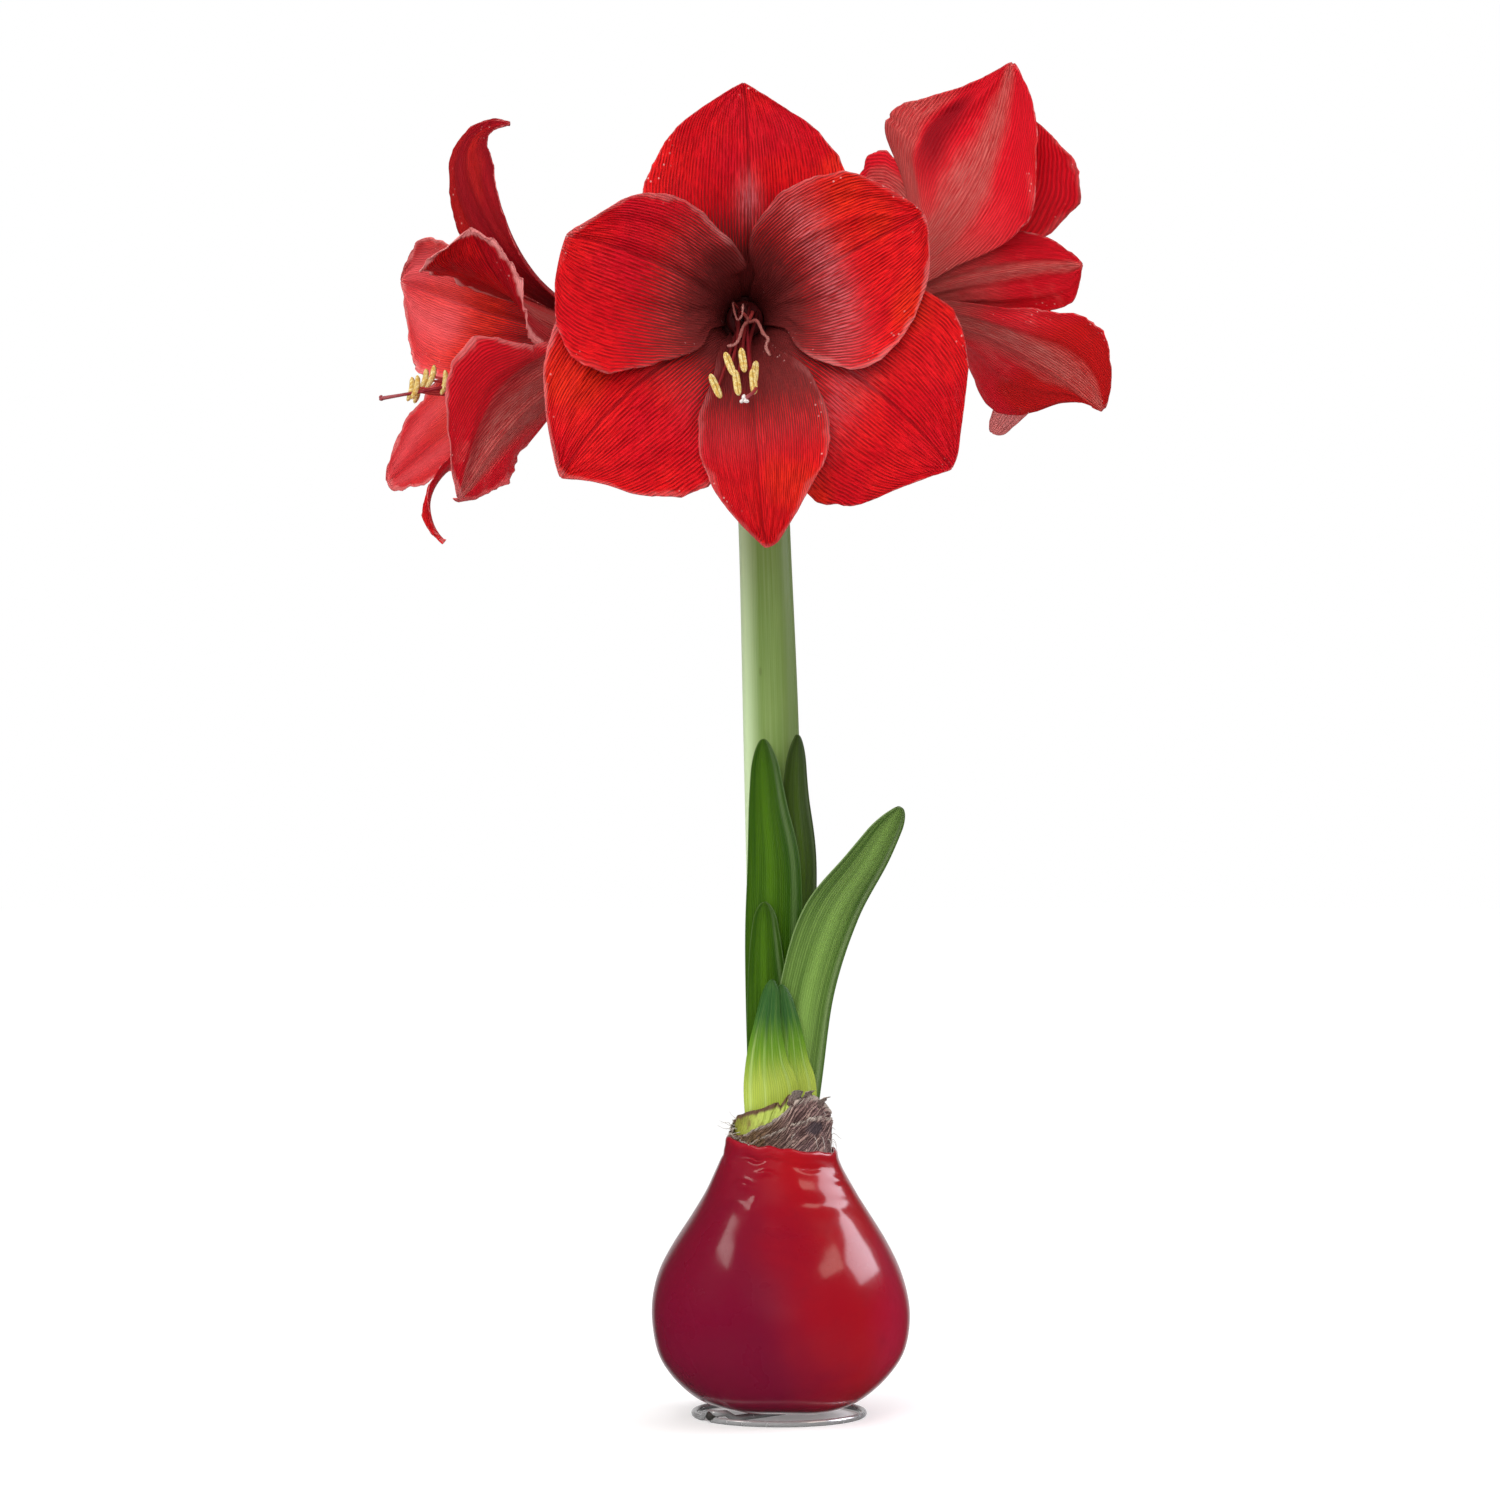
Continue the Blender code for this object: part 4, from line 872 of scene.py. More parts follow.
def ring_stand(steel):
    """The wire, tapered at the spike's tip, and the bead where its ring crosses its own start."""
    path = stand_path()
    radii = np.full(len(path), WIRE / 2)
    radii[-1] = 0.3 * MM
    wire = tube("bent_wire_ring", path, radii, 20)
    dress(wire, steel, "wire_stand")

    crossing = RING_RADIUS * heading(TURN_IN) + (0, 0, WELD_HEIGHT)
    bpy.ops.mesh.primitive_uv_sphere_add(segments=24, ring_count=16, radius=1, location=crossing)
    bead = bpy.context.object
    bead.name = bead.data.name = "crossing_weld"
    bpy.ops.object.mode_set(mode="EDIT")
    bpy.ops.mesh.select_all(action="SELECT")
    bpy.ops.transform.resize(value=WELD_HALVES)
    bpy.ops.object.mode_set(mode="OBJECT")
    bpy.ops.object.transform_apply(location=True, rotation=True, scale=True)
    bead.data.uv_layers[0].name = "surface"
    points = np.empty(3 * len(bead.data.vertices))
    bead.data.vertices.foreach_get("co", points)
    points = points.reshape(-1, 3)
    lumps = wander(1500 * points[:, 0] + 900 * points[:, 2], 4) * 0.25 * MM
    middle = points.mean(0)
    points += unit(points - middle) * lumps[:, None]
    bead.data.vertices.foreach_set("co", points.ravel())
    bpy.ops.object.select_all(action="DESELECT")
    dress(bead, weld_finish(), None)


def weld_finish():
    """Dark scale over the bead."""
    finish = Finish("blackened_weld", Metallic=0.85)
    scale = finish.clouds(1400, 5, 0.65)
    colour = finish.blend(scale, (0.03, 0.028, 0.026), (0.3, 0.28, 0.26))
    return finish.skin(colour, (scale, 0.3, 0.7, 0.3, 0.6), (scale, 0.0003, 0.9))


# ---- bulb, wax and neck ----
# Radius and height up the bulb's side.
BULB_OUTLINE = MM * np.array([
    (18.5, 4.8), (27.6, 7.2), (34.5, 12.0), (40.4, 18.6), (44.2, 25.8), (46.0, 36.0),
    (45.5, 45.0), (42.7, 54.5), (37.7, 64.0), (30.7, 75.0), (25.0, 84.5), (20.9, 94.0),
    (18.6, 103.0), (18.2, 110.0), (17.6, 117.0), (17.1, 124.0),
])
BULB_ASIDE = 0.5 * MM
NECK_DEPTH = 0.17
NECK_FROM, NECK_TO = 78 * MM, 108 * MM
WAX_GAP, WAX_THICKNESS = 0.4 * MM, 1.7 * MM
WAX_EDGE, WAX_EDGE_TILT = 102.2 * MM, 3.0 * MM
RECESS_FLOOR = 97 * MM
NECK_RADIUS = 18.2 * MM


def neck_depth(z):
    """How much deeper than wide the neck is at a height."""
    return 1 + NECK_DEPTH * smooth_step((z - NECK_FROM) / (NECK_TO - NECK_FROM))


def round_neck(r, turns, z):
    """Places round the neck's middle, drawn out from front to back as the neck is."""
    return np.stack([BULB_ASIDE + r * np.cos(turns), r * neck_depth(z) * np.sin(turns), z], -1)


def bulb_warp(points):
    """The bulb's slight lumps, and the neck's depth from front to back."""
    x, y, z = np.moveaxis(points, -1, 0)
    turn = np.arctan2(y, x)
    lumps = 1 + 0.010 * np.sin(2 * turn + 0.8) + 0.006 * np.sin(5 * turn + 90 * z)
    lumps = lumps + 0.004 * np.sin(3 * turn - 140 * z)
    return np.stack([BULB_ASIDE + x * lumps, y * lumps * neck_depth(z), z], -1)


def bulb_side(offset, shares, top, turns, bulge=0.0):
    """The bulb's outline moved out by offset, for each share of the way up to its own top."""
    fine = spline(BULB_OUTLINE, 400)
    slope = unit(np.gradient(fine, axis=0))
    out = np.c_[slope[:, 1], -slope[:, 0]]
    ends = np.interp(top, fine[:, 1], np.arange(len(fine)))
    places = shares[:, None] * ends[None, :]
    side, outwards = (read_off(places, np.arange(len(fine)), table) for table in (fine, out))
    moved = np.broadcast_to(offset + bulge, places.shape)[..., None] * outwards
    radius, height = np.moveaxis(side + moved, -1, 0)
    return bulb_warp(np.stack([radius * np.cos(turns), radius * np.sin(turns), height], -1))


def wax_dip(wax):
    """The wax coat: pooled a little at the base, with runs and creases under an uneven lip."""
    around = 208
    turns = np.linspace(0, 2 * pi, around + 1)
    edge = WAX_EDGE - WAX_EDGE_TILT * np.cos(turns) + 1.2 * MM * round_wander(turns, 31, 20)
    shares = np.concatenate([np.linspace(0, 0.8, 80)[:-1], np.linspace(0.8, 1, 57)])
    s, turn = shares[:, None], turns[None, :]
    bulge = 0.25 * MM * np.sin(2 * turn + 3 + 5 * s) + 0.2 * MM * np.sin(5 * turn - 9 * s)
    near_top = smooth_step((s - 0.72) / 0.2)
    runs = round_wander(turn, 12, 22) * (0.28 * MM + 0.3 * MM * smooth_step((s - 0.9) / 0.08))
    bulge = bulge + 0.8 * near_top * runs
    # Each: its turn in degrees, its share of the way up, how wide and how high it is, and its relief.
    creases = (
        (238, 0.86, 8, 0.016, 1.3), (256, 0.905, 9, 0.01, 1.2), (240, 0.95, 14, 0.009, -1.6),
        (250, 0.81, 6, 0.02, 0.9), (262, 0.965, 10, 0.008, 1.0), (300, 0.94, 16, 0.012, -1.0),
        (330, 0.9, 10, 0.015, 0.8), (120, 0.9, 14, 0.02, 0.9), (60, 0.85, 9, 0.03, 0.8),
        (180, 0.93, 11, 0.012, -0.9), (20, 0.9, 9, 0.02, 0.8), (210, 0.92, 9, 0.015, 1.0),
        (320, 0.815, 32, 0.03, -1.2), (226, 0.81, 24, 0.026, -1.1), (290, 0.86, 14, 0.03, 0.5),
        (262, 0.76, 16, 0.035, 0.5), (340, 0.7, 20, 0.05, 0.5), (205, 0.68, 16, 0.05, 0.4),
    )
    for degrees, share, width, length, height in creases:
        near = np.angle(np.exp(1j * (turn - radians(degrees))))
        bulge = bulge + height * MM * 0.55 * hill(near, 0, radians(width)) * hill(s, share, length)
    lip = smooth_step((s - 0.955) / 0.045)
    bulge = bulge + 0.15 * MM * hill(s, 0.985, 0.012)
    wall = WAX_THICKNESS * (1 - 0.5 * smooth_step((s - 0.84) / 0.13))
    round_over = np.sqrt(np.clip(1 - ((s - 0.985) / 0.015).clip(0, 1) ** 2, 0, 1))
    outer = bulb_side(WAX_GAP + wall * (0.35 + 0.65 * round_over), shares, edge, turns, bulge)
    down = np.linspace(1, 0.93, 10)
    inner = bulb_side(WAX_GAP * 0.9, down, edge - 0.5 * MM, turns)
    rows = np.concatenate([outer, inner])
    rows[:, -1] = rows[:, 0]
    base = rows[0].mean(0) + (0, 0, 0.3 * MM)
    closing = [base + (rows[0] - base) * share for share in (0, 0.15, 0.4, 0.7, 0.9)]
    rows = np.concatenate([np.array(closing), rows])
    lips = np.concatenate([np.zeros((5, around + 1)), lip + 0 * turn, np.ones((10, around + 1))])
    return dress(close_seams(sheet("wax_dip", rows, lip=lips)), wax, "wax_coat")


def ragged(turns, seed, depth, teeth):
    """A torn edge: short splits and tongues round a sheet."""
    draw = np.random.default_rng(seed)
    marks = np.sort(draw.uniform(turns[0], turns[-1], teeth))
    drops = draw.uniform(-1, 1, teeth)
    coarse = np.interp(turns, marks, drops)
    fine = wander(turns * 22, seed + 1, 6, 1.3)
    return depth * (0.75 * coarse + 0.35 * fine)


def neck_scale(name, profile, radius, lean, slant, seed, torn_depth, foot=98.0, wall=0.3, scar=None):
    """One scale round the neck, up to a torn edge that passes through its profile of turns and heights.

    Its fibres slope by slant, its edge leans out by lean, and it may bear a scar at a turn and height.
    """
    columns, rows = 130, 32
    marks = np.array(profile, float)
    degrees = np.linspace(marks[0, 0], marks[-1, 0], columns)
    turns = np.radians(degrees)
    top = MM * np.interp(degrees, marks[:, 0], marks[:, 1]) + ragged(turns, seed, torn_depth * MM, 15)
    share = np.linspace(0, 1, rows)[:, None]
    z = foot * MM * (1 - share) + top * share
    along_fibre = np.linspace(0, 1, columns) - slant * share * (marks[-1, 1] - foot) / 20
    ridges = wander(along_fibre * 75, seed + 3, 7) * 0.42 + wander(along_fibre * 240, seed + 4, 5) * 0.16
    curl = lean * share**2 + 1.1 * smooth_step((share - 0.75) / 0.25) * wander(turns * 8, seed + 5, 5)
    r = radius + curl + ridges * smooth_step(share / 0.15)
    marked = 0 * r
    if scar:
        away = np.hypot((degrees - scar[0]) / 13, (z / MM - scar[1]) / 2.8)
        away = away + 0.15 * wander(turns * 30 + 9 * share, 5)
        marked = smooth_step((1.1 - away) / 0.4)
        r = r + (0.15 - ridges) * marked + 0.55 * hill(away, 1.15, 0.2)
    places = round_neck(r * MM, turns, z)
    torn = smooth_step((share - 0.8) / 0.2) + 0 * turns
    uv = [(part + 0 * r)[:, ::-1] for part in (along_fibre, share)]
    piece = sheet(name, places[:, ::-1], uv, torn=torn[:, ::-1], scar=marked[:, ::-1])
    return thicken(piece, wall * MM)


def flake(name, turn, height, radius, length, width, lean, curl, seed):
    """A loose bit of dry scale that stands on the neck's edge and curls over."""
    columns, rows = 14, 30
    way = heading(turn, 1 + NECK_DEPTH)
    across = np.array([-sin(radians(turn)), cos(radians(turn)), 0])
    q, v = both_ways(rows, columns)
    bend = np.radians(lean + curl * q**1.3)
    step = length * MM / (rows - 1)
    out, up = np.cumsum(np.sin(bend), 0) * step, np.cumsum(np.cos(bend), 0) * step
    half = width / 2 * MM * (1 - 0.5 * q**2 + 0.18 * wander(q * 17, seed, 5))
    aside = half * v + 0.8 * MM * wander(q * 4, seed + 1, 4)
    hollow = 0.5 * MM * v**2 * (1 - q) + 0.25 * MM * wander(q * 9 + 3 * v, seed + 2, 5)
    foot = np.array([BULB_ASIDE, 0, height * MM]) + way * radius * MM
    up_way = np.array([0, 0, 1])
    places = foot + (out - hollow)[..., None] * unit(way) + up[..., None] * up_way + aside[..., None] * across
    piece = sheet(name, places, torn=0.4 + 0.6 * q + 0 * v, scar=0 * q * v)
    return thicken(piece, 0.25 * MM)


def tunic(paper):
    """The brown neck of the bulb, under torn papery scales whose fibres sweep up to its right."""
    around = 160
    turns = np.linspace(0, 2 * pi, around + 1)
    rim = 108 * MM + 2.5 * MM * np.cos(turns) + 0.8 * MM * round_wander(turns, 40, 18)
    fine = spline(BULB_OUTLINE, 400)
    share = np.linspace(0, 1, 30)[:, None]
    z = 90 * MM * (1 - share) + rim * share
    r = np.interp(z, fine[:, 1], fine[:, 0]) + 0.25 * MM * round_wander(turns, 41, 26) * share
    down = np.linspace(0, 1, 10)[:, None]
    inner_z = (rim - 0.1 * MM) * (1 - down) + RECESS_FLOOR * down
    inner_r = np.interp(inner_z, fine[:, 1], fine[:, 0]) - 0.8 * MM
    rows = np.concatenate([round_neck(r, turns, z), round_neck(inner_r, turns, inner_z)])
    rows[:, -1] = rows[:, 0]
    top, bottom = rows[-1].mean(0), rows[0].mean(0)
    rows = np.concatenate([bottom + 0 * rows[:1], rows, top + 0 * rows[:1]])
    neck = close_seams(sheet("neck_core", rows, torn=0.0, scar=0.0))
    front = ((206, 104.5), (225, 106.5), (245, 109.5), (262, 112.5), (273, 115), (281, 118), (288, 120.5),
             (298, 120.5), (310, 121), (325, 119.5), (338, 117), (352, 113.5), (368, 110.5), (385, 108))
    under = ((232, 103.5), (250, 106.5), (265, 108), (280, 111), (300, 112.5), (322, 113.5), (345, 112),
             (372, 107.5))
    back = ((12, 112), (40, 115), (75, 117), (110, 114), (150, 112), (180, 108), (205, 106))
    left = ((150, 106), (175, 106.5), (200, 105.5), (222, 104), (236, 102.5))
    scales = [
        neck_scale("scale_back", back, 18.3, 0.3, 0.2, 51, 1.6),
        neck_scale("scale_front", front, 18.3, 0.2, 0.8, 58, 0.7),
        neck_scale("scale_under", under, 18.9, 0.1, 0.75, 63, 0.8, scar=(312, 109)),
        neck_scale("scale_left", left, 18.7, 0.0, 0.3, 70, 0.8),
        flake("flake_middle", 286, 117, 18.4, 7.0, 4.2, -6, 60, 5),
        flake("flake_right", 303, 118, 18.2, 6.5, 4.0, -12, 95, 8),
        flake("flake_far", 324, 116, 18.5, 6.0, 4.5, 4, 80, 13),
        flake("flake_inside", 294, 115, 17.7, 8.0, 3.6, -20, 50, 21),
    ]
    for scale in scales:
        scale.data.attributes.remove(scale.data.attributes["back"])
    whole = joined("papery_neck", [neck, *scales])
    return dress(whole, paper, "bulb")


def green_sheath(skin):
    """The fleshy scale at the left front, browned along its torn edge, with a tongue in the middle."""
    profile = ((148, 105), (170, 110.5), (196, 112.5), (208, 113.6), (222, 114.6), (238, 115.8), (256, 117.6),
               (266, 118.6), (270, 117), (275, 119.5), (281, 121.8), (286, 121), (292, 118), (300, 114.5),
               (306, 111))
    piece = neck_scale("green_neck_scale", profile, 16.6, -0.2, 0.25, 81, 0.35, 97.6, 0.8)
    return dress(piece, skin, "neck_sheath")


def wisps(dry):
    """Grey wisps of old scale that curl off the neck."""
    draws = (
        (198, 108, (-3.5, -2.0, 0.2), (-6.5, -2.5, 1.6)), (203, 108, (-2.0, -2.6, 1.4), (-6.0, -4.5, 3.6)),
        (352, 104, (2.0, -1.0, -1.2), (3.0, -1.2, -3.0)), (6, 107, (1.6, -2.0, 0.8), (2.4, -4.0, 0.2)),
        (300, 111, (1.0, -2.0, 1.5), (4.0, -3.0, 3.0)), (20, 113, (1.5, 0.5, 1.2), (2.2, 1.5, -0.5)),
        (100, 112, (0.5, 2.2, 1.8), (-1.5, 3.8, 1.0)), (150, 110, (-2.0, 1.2, 1.2), (-3.4, 2.6, 2.8)),
        (330, 112, (1.0, -1.2, 1.8), (0.2, -2.6, 3.0)), (285, 107, (0.4, -2.0, 0.2), (-1.0, -3.0, -1.6)),
        (338, 105, (1.6, -1.6, -1.4), (2.4, -2.2, -6.5)), (346, 104, (1.9, -1.0, -1.8), (2.6, -1.8, -7.5)),
        (354, 104, (2.2, -0.6, -0.8), (3.4, -0.4, -5.5)), (325, 106, (1.0, -2.4, -1.4), (1.6, -3.4, -6.0)),
        (312, 106, (0.8, -2.4, -1.0), (1.8, -3.2, -4.6)), (2, 105, (2.2, 0.4, 0.6), (4.6, 0.4, -1.6)),
        (210, 107, (-2.6, -1.6, -0.6), (-5.0, -2.0, -0.4)), (192, 109, (-2.0, -0.8, 1.2), (-4.6, -1.0, 1.0)),
    )
    threads = []
    for seed, (turn, height, out, end) in enumerate(draws, 3):
        way = heading(turn, 1 + NECK_DEPTH)
        foot = way * NECK_RADIUS + (BULB_ASIDE, 0, height * MM)
        controls = [foot - way * 0.6 * MM, foot + np.array(out) * MM * 0.5, foot + np.array(out) * MM]
        controls.append(foot + np.array(end) * MM)
        steps = np.arange(26)
        waver = [wander(steps * often, seed + more) for often, more in ((0.5, 0), (0.6, 9), (0.4, 5))]
        line = spline(controls, len(steps)) + 0.15 * MM * np.stack(waver, -1)
        threads.append(tube(f"thread_{seed}", line, np.linspace(0.16, 0.05, len(steps)) * MM, 6))
    return dress(joined("neck_fibres", threads), dry, None)


# ---- scape, leaves and bracts ----
# The scape's middle line, which leans a little left, and its radius at the same places.
SCAPE_PATH = MM * np.array([
    (0.6, 6.3, 97.4), (-0.6, 6.4, 160), (-3.1, 5.6, 260), (-5.3, 4.6, 328), (-7.0, 4.0, 371),
])
SCAPE_RADII = MM * np.array([10.3, 10.6, 10.3, 9.6, 9.7])
# The thickness of a leaf's middle and its margin's share of that, and the thickness of a bract.
LEAF_WALL, LEAF_MARGIN = 1.3 * MM, 0.35
BRACT_WALL = 0.4 * MM

# A leaf passes through places: how far right of the scape's foot, how far out from its middle line, at
# what height, and half how wide, all in millimetres.
Leaf = namedtuple("Leaf", "name passes kind")
LEAVES = (
    Leaf("leaf_tall_right", (
        (4.6, 11.4, 98.6, 8.6), (4.6, 13.0, 130, 9.6), (6.6, 15.0, 170, 9.8), (8.8, 16.8, 205, 8.8),
        (6.6, 17.4, 232, 5.8), (6.8, 17.6, 255.2, 3.2)), "olive"),
    Leaf("leaf_tall_left", (
        (-2.4, 12.9, 98.6, 8.8), (-3.6, 14.8, 130, 9.8), (-2.6, 17.4, 175, 11.2), (-2.0, 19.0, 205, 10.4),
        (-4.4, 19.8, 229, 7.2), (-6.0, 20.2, 253.6, 3.8)), "dark"),
    Leaf("leaf_short", (
        (-3.6, 14.4, 98.6, 8.6), (-4.0, 16.5, 125, 9.0), (-4.3, 19.3, 152, 8.4), (-5.2, 20.7, 175, 6.2),
        (-5.4, 21.4, 193, 3.4)), "dark"),
    Leaf("leaf_arching", (
        (4.6, 15.9, 98.6, 8.8), (8.0, 18.5, 128, 11.4), (12.4, 23.5, 160, 13.0), (21.2, 34.0, 188, 14.6),
        (33.6, 50.0, 209.5, 11.8), (44.0, 64.0, 228.6, 6.8)), "grey"),
    Leaf("leaf_young_right", (
        (3.8, 17.4, 98.6, 9.6), (4.0, 19.6, 121, 11.4), (3.3, 22.0, 134, 8.0), (2.5, 24.6, 148, 5.2),
        (0.7, 25.4, 162.4, 2.2)), "young"),
    Leaf("leaf_young_left", (
        (-3.2, 18.9, 98.6, 9.4), (-3.4, 21.3, 121, 10.8), (-4.8, 24.2, 134, 8.0), (-4.4, 26.8, 148, 5.0),
        (-2.6, 27.6, 164.4, 2.4)), "young"),
)


def scape(skin):
    """The flower stem, faintly fluted and a little oval."""
    rows = 120
    path = spline(SCAPE_PATH, rows)
    radii = spline(SCAPE_RADII, rows)

    def flutes(share, turns):
        ribs = 0.004 * np.sin(14 * turns + 3 * share) + 0.006 * np.sin(3 * turns + 5 * share)
        return 1 + ribs + 0.012 * np.sin(2 * turns + 1.2)

    piece = tube("hollow_scape", path, radii, 96, (1, 0, 0), flutes)
    return dress(piece, skin, "scape")


def leaf_surface(leaf, rows, columns):
    """The middle surface of a strap leaf, a channel that wraps round the scape's middle line."""
    share = 1 - (1 - np.linspace(0, 1, rows)) ** 1.35
    passes = spline(MM * np.array(leaf.passes), 400)
    aside, away, height, half = read_off(share, np.linspace(0, 1, 400), passes).T
    end = ((share - 0.9) / 0.1).clip(0, 1)
    half = half * np.sqrt(1 - end**2) + 0.15 * MM
    middle = spline(SCAPE_PATH, 60)
    centre = np.c_[read_off(height, middle[:, 2], middle[:, :2]), height]
    turn = np.arcsin((aside - centre[:, 0]) / away)
    v = np.linspace(-1, 1, columns)
    out = np.stack([np.sin(turn), -np.cos(turn), 0 * turn], -1)
    line = centre + away[:, None] * out
    along = unit(np.gradient(line, axis=0))
    across = unit(np.cross(out, along))
    out = np.cross(along, across)
    angle = np.outer(half / away, v)
    spread = across[:, None] * np.sin(angle)[..., None] - out[:, None] * (1 - np.cos(angle))[..., None]
    places = line[:, None] + spread * away[:, None, None]
    keel = 0.35 * MM * hill(v, 0, 0.1)[None, :] * smooth_step((1 - share) / 0.3)[:, None]
    ribs = 0.05 * MM * np.cos(11 * pi * v)[None, :] * np.ones((rows, 1))
    places = places + out[:, None] * (keel + ribs)[..., None]
    rim = (1 - np.abs(v))[None, :] * half[:, None] / MM
    return places, v, share, rim


def leaf_blade(leaf, finishes):
    """A strap leaf with a thick middle, thin margins and a rounded edge."""
    places, v, share, rim = leaf_surface(leaf, 80, 29)
    thin = np.abs(v)[None, :] ** 3 + 0 * share[:, None]
    piece = sheet(leaf.name + "_blade", places, rim=rim, thin=thin)
    thicken(piece, LEAF_WALL, LEAF_MARGIN)
    rounding = piece.modifiers.new("round", "SUBSURF")
    rounding.levels = rounding.render_levels = 1
    apply_modifiers(piece)
    return dress(piece, finishes[leaf.kind], leaf.name)


def withered_bract(name, turn, paper):
    """One of the two withered bracts that hang from the scape's head."""
    head = SCAPE_PATH[-1]
    out = heading(turn)
    across = np.array([-out[1], out[0], 0])
    ring = SCAPE_RADII[-1] + 0.8 * MM
    passes = MM * np.array([(0.3, -0.8), (1.5, -7.2), (3.2, -13.8), (4.6, -19.0), (7.2, -21.0), (8.2, -17.5)])
    rows, columns = 70, 33
    line = spline([head + out * (ring + p[0]) + np.array([0, 0, p[1]]) for p in passes], rows)
    s, v = both_ways(rows, columns)
    half = MM * (8.6 * (1 - s**1.8) + 0.3)
    bend = ring + 2 * MM
    angle = half * (1 + 0.35 * s) * v / bend
    fold = 0.8 * MM * np.sin(9 * s + 2.5 * v) * s + 0.5 * MM * np.cos(11 * v + 4 * s) * smooth_step(s * 1.5)
    curl = 2.2 * MM * v**2 * s**2
    aside, back = bend * np.sin(angle), bend * (1 - np.cos(angle)) + fold - curl
    places = line[:, None] + across * aside[..., None] - out * back[..., None]
    piece = sheet(name, places)
    thicken(piece, BRACT_WALL)
    return dress(piece, paper, name.replace("bract", "spathe_valve"))


# ---- blooms ----
# The perianth tube has a cup this deep, which the tepals stand in with a little room under them.
TUBE_CUP = 5.0 * MM
CLEAR = 0.3 * MM
# How far behind the throat, and the radius there, of tube, ovary and the pedicel's end.
TUBE_STATIONS = MM * np.array([
    (0, 11.6), (4, 11.1), (8, 9.2), (12.5, 6.2), (17, 5.3), (23, 6.4), (29, 6.6), (34, 5.0), (38, 3.9),
])
# How far from the bloom's axis the outer and the inner tepals start, and the pedicels from the scape's.
OUTER_FOOT, INNER_FOOT = 8.8 * MM, 7.2 * MM
PEDICEL_SPREAD = 5.3 * MM
# The thickness of a tepal's middle, and its margin's share of that.
TEPAL_WALL, TEPAL_MARGIN = 0.75 * MM, 0.45

# A tepal: its place round the bloom as seen from the bloom's front (0 is up, clockwise), the length of
# its midrib, the slope of the midrib off the bloom's axis at five even steps, how strongly its sides
# lift forward, how far the tip drifts clockwise, how far the blade twists, and the height and start of
# the waves on its sides.
Tepal = namedtuple("Tepal", "place clock length flare cup sway twist wave phase")
# A bloom: its throat's middle in millimetres, the way that it faces, its roll in degrees, where round the
# scape's head its pedicel starts, and how far its stamens reach out and hang down beside the front one's.
Bloom = namedtuple("Bloom", "name throat faces roll foot poise tepals")

OUTER_FLARE = (5, 29, 57, 82, 98)
FRONT = Bloom("front", (-12.7, -48, 407), (0.05, -1, 0), 0, -75, (1, 1), (
    Tepal("top", 0, 98, OUTER_FLARE, 0, -2, 0, 1.0, 0.0),
    Tepal("upper_right", 60, 94, (4, 25, 46, 66, 84), 2, 2, 0, 1.2, 0.6),
    Tepal("lower_right", 120, 114, OUTER_FLARE, -3.5, 9, 0, 1.2, 1.4),
    Tepal("bottom", 180, 116, (4, 25, 50, 76, 96), 2, -3, 0, 1.0, 2.0),
    Tepal("lower_left", 240, 114, OUTER_FLARE, -2, -12, 0, 1.2, 0.9),
    Tepal("upper_left", 298, 96, (4, 25, 46, 66, 84), 2, -8, 0, 1.2, 2.6),
))
LEFT = Bloom("left", (-61, 2, 400), (-1, -0.2, 0), 0, 165, (1.06, 0.54), (
    Tepal("top", -6, 122, (6, 35, 56, 88, 185), 2, -8, -50, 1.2, 0.0),
    Tepal("upper_right", 66, 90, (4, 22, 42, 56, 66), 0, -16, -90, 2.2, 0.6),
    Tepal("lower_right", 126, 96, (6, 34, 46, 52, 56), -8, 20, -30, 2.4, 1.4),
    Tepal("bottom", 180, 113, (6, 28, 37, 50, 140), 0, -8, 0, 1.0, 2.0),
    Tepal("lower_left", 240, 105, (6, 33, 38, 41, 44), 0, -16, 0, 1.2, 0.9),
    Tepal("upper_left", 303, 98, (4, 22, 33, 46, 58), 2, -4, 0, 1.2, 2.6),
))
RIGHT = Bloom("right", (38.5, 25, 420), (0.78, 0.5, 0.38), -38, 45, (0.95, 0.8), (
    Tepal("top", 0, 108, (5, 31, 58, 74, 84), -13, 2, 0, 1.2, 0.0),
    Tepal("upper_right", 52, 100, (4, 20, 38, 56, 70), -3, -34, 0, 1.2, 0.6),
    Tepal("lower_right", 120, 96, (5, 30, 56, 76, 92), -2, 0, 0, 1.2, 1.4),
    Tepal("bottom", 180, 158, (4, 22, 42, 78, 120), 2, -5, 0, 1.2, 2.0),
    Tepal("lower_left", 240, 99, (5, 30, 54, 72, 96), -4, 12, 0, 1.2, 0.9),
    Tepal("upper_left", 300, 82, (4, 20, 39, 56, 70), 2, -2, 0, 1.2, 2.6),
))
BLOOMS = (FRONT, LEFT, RIGHT)

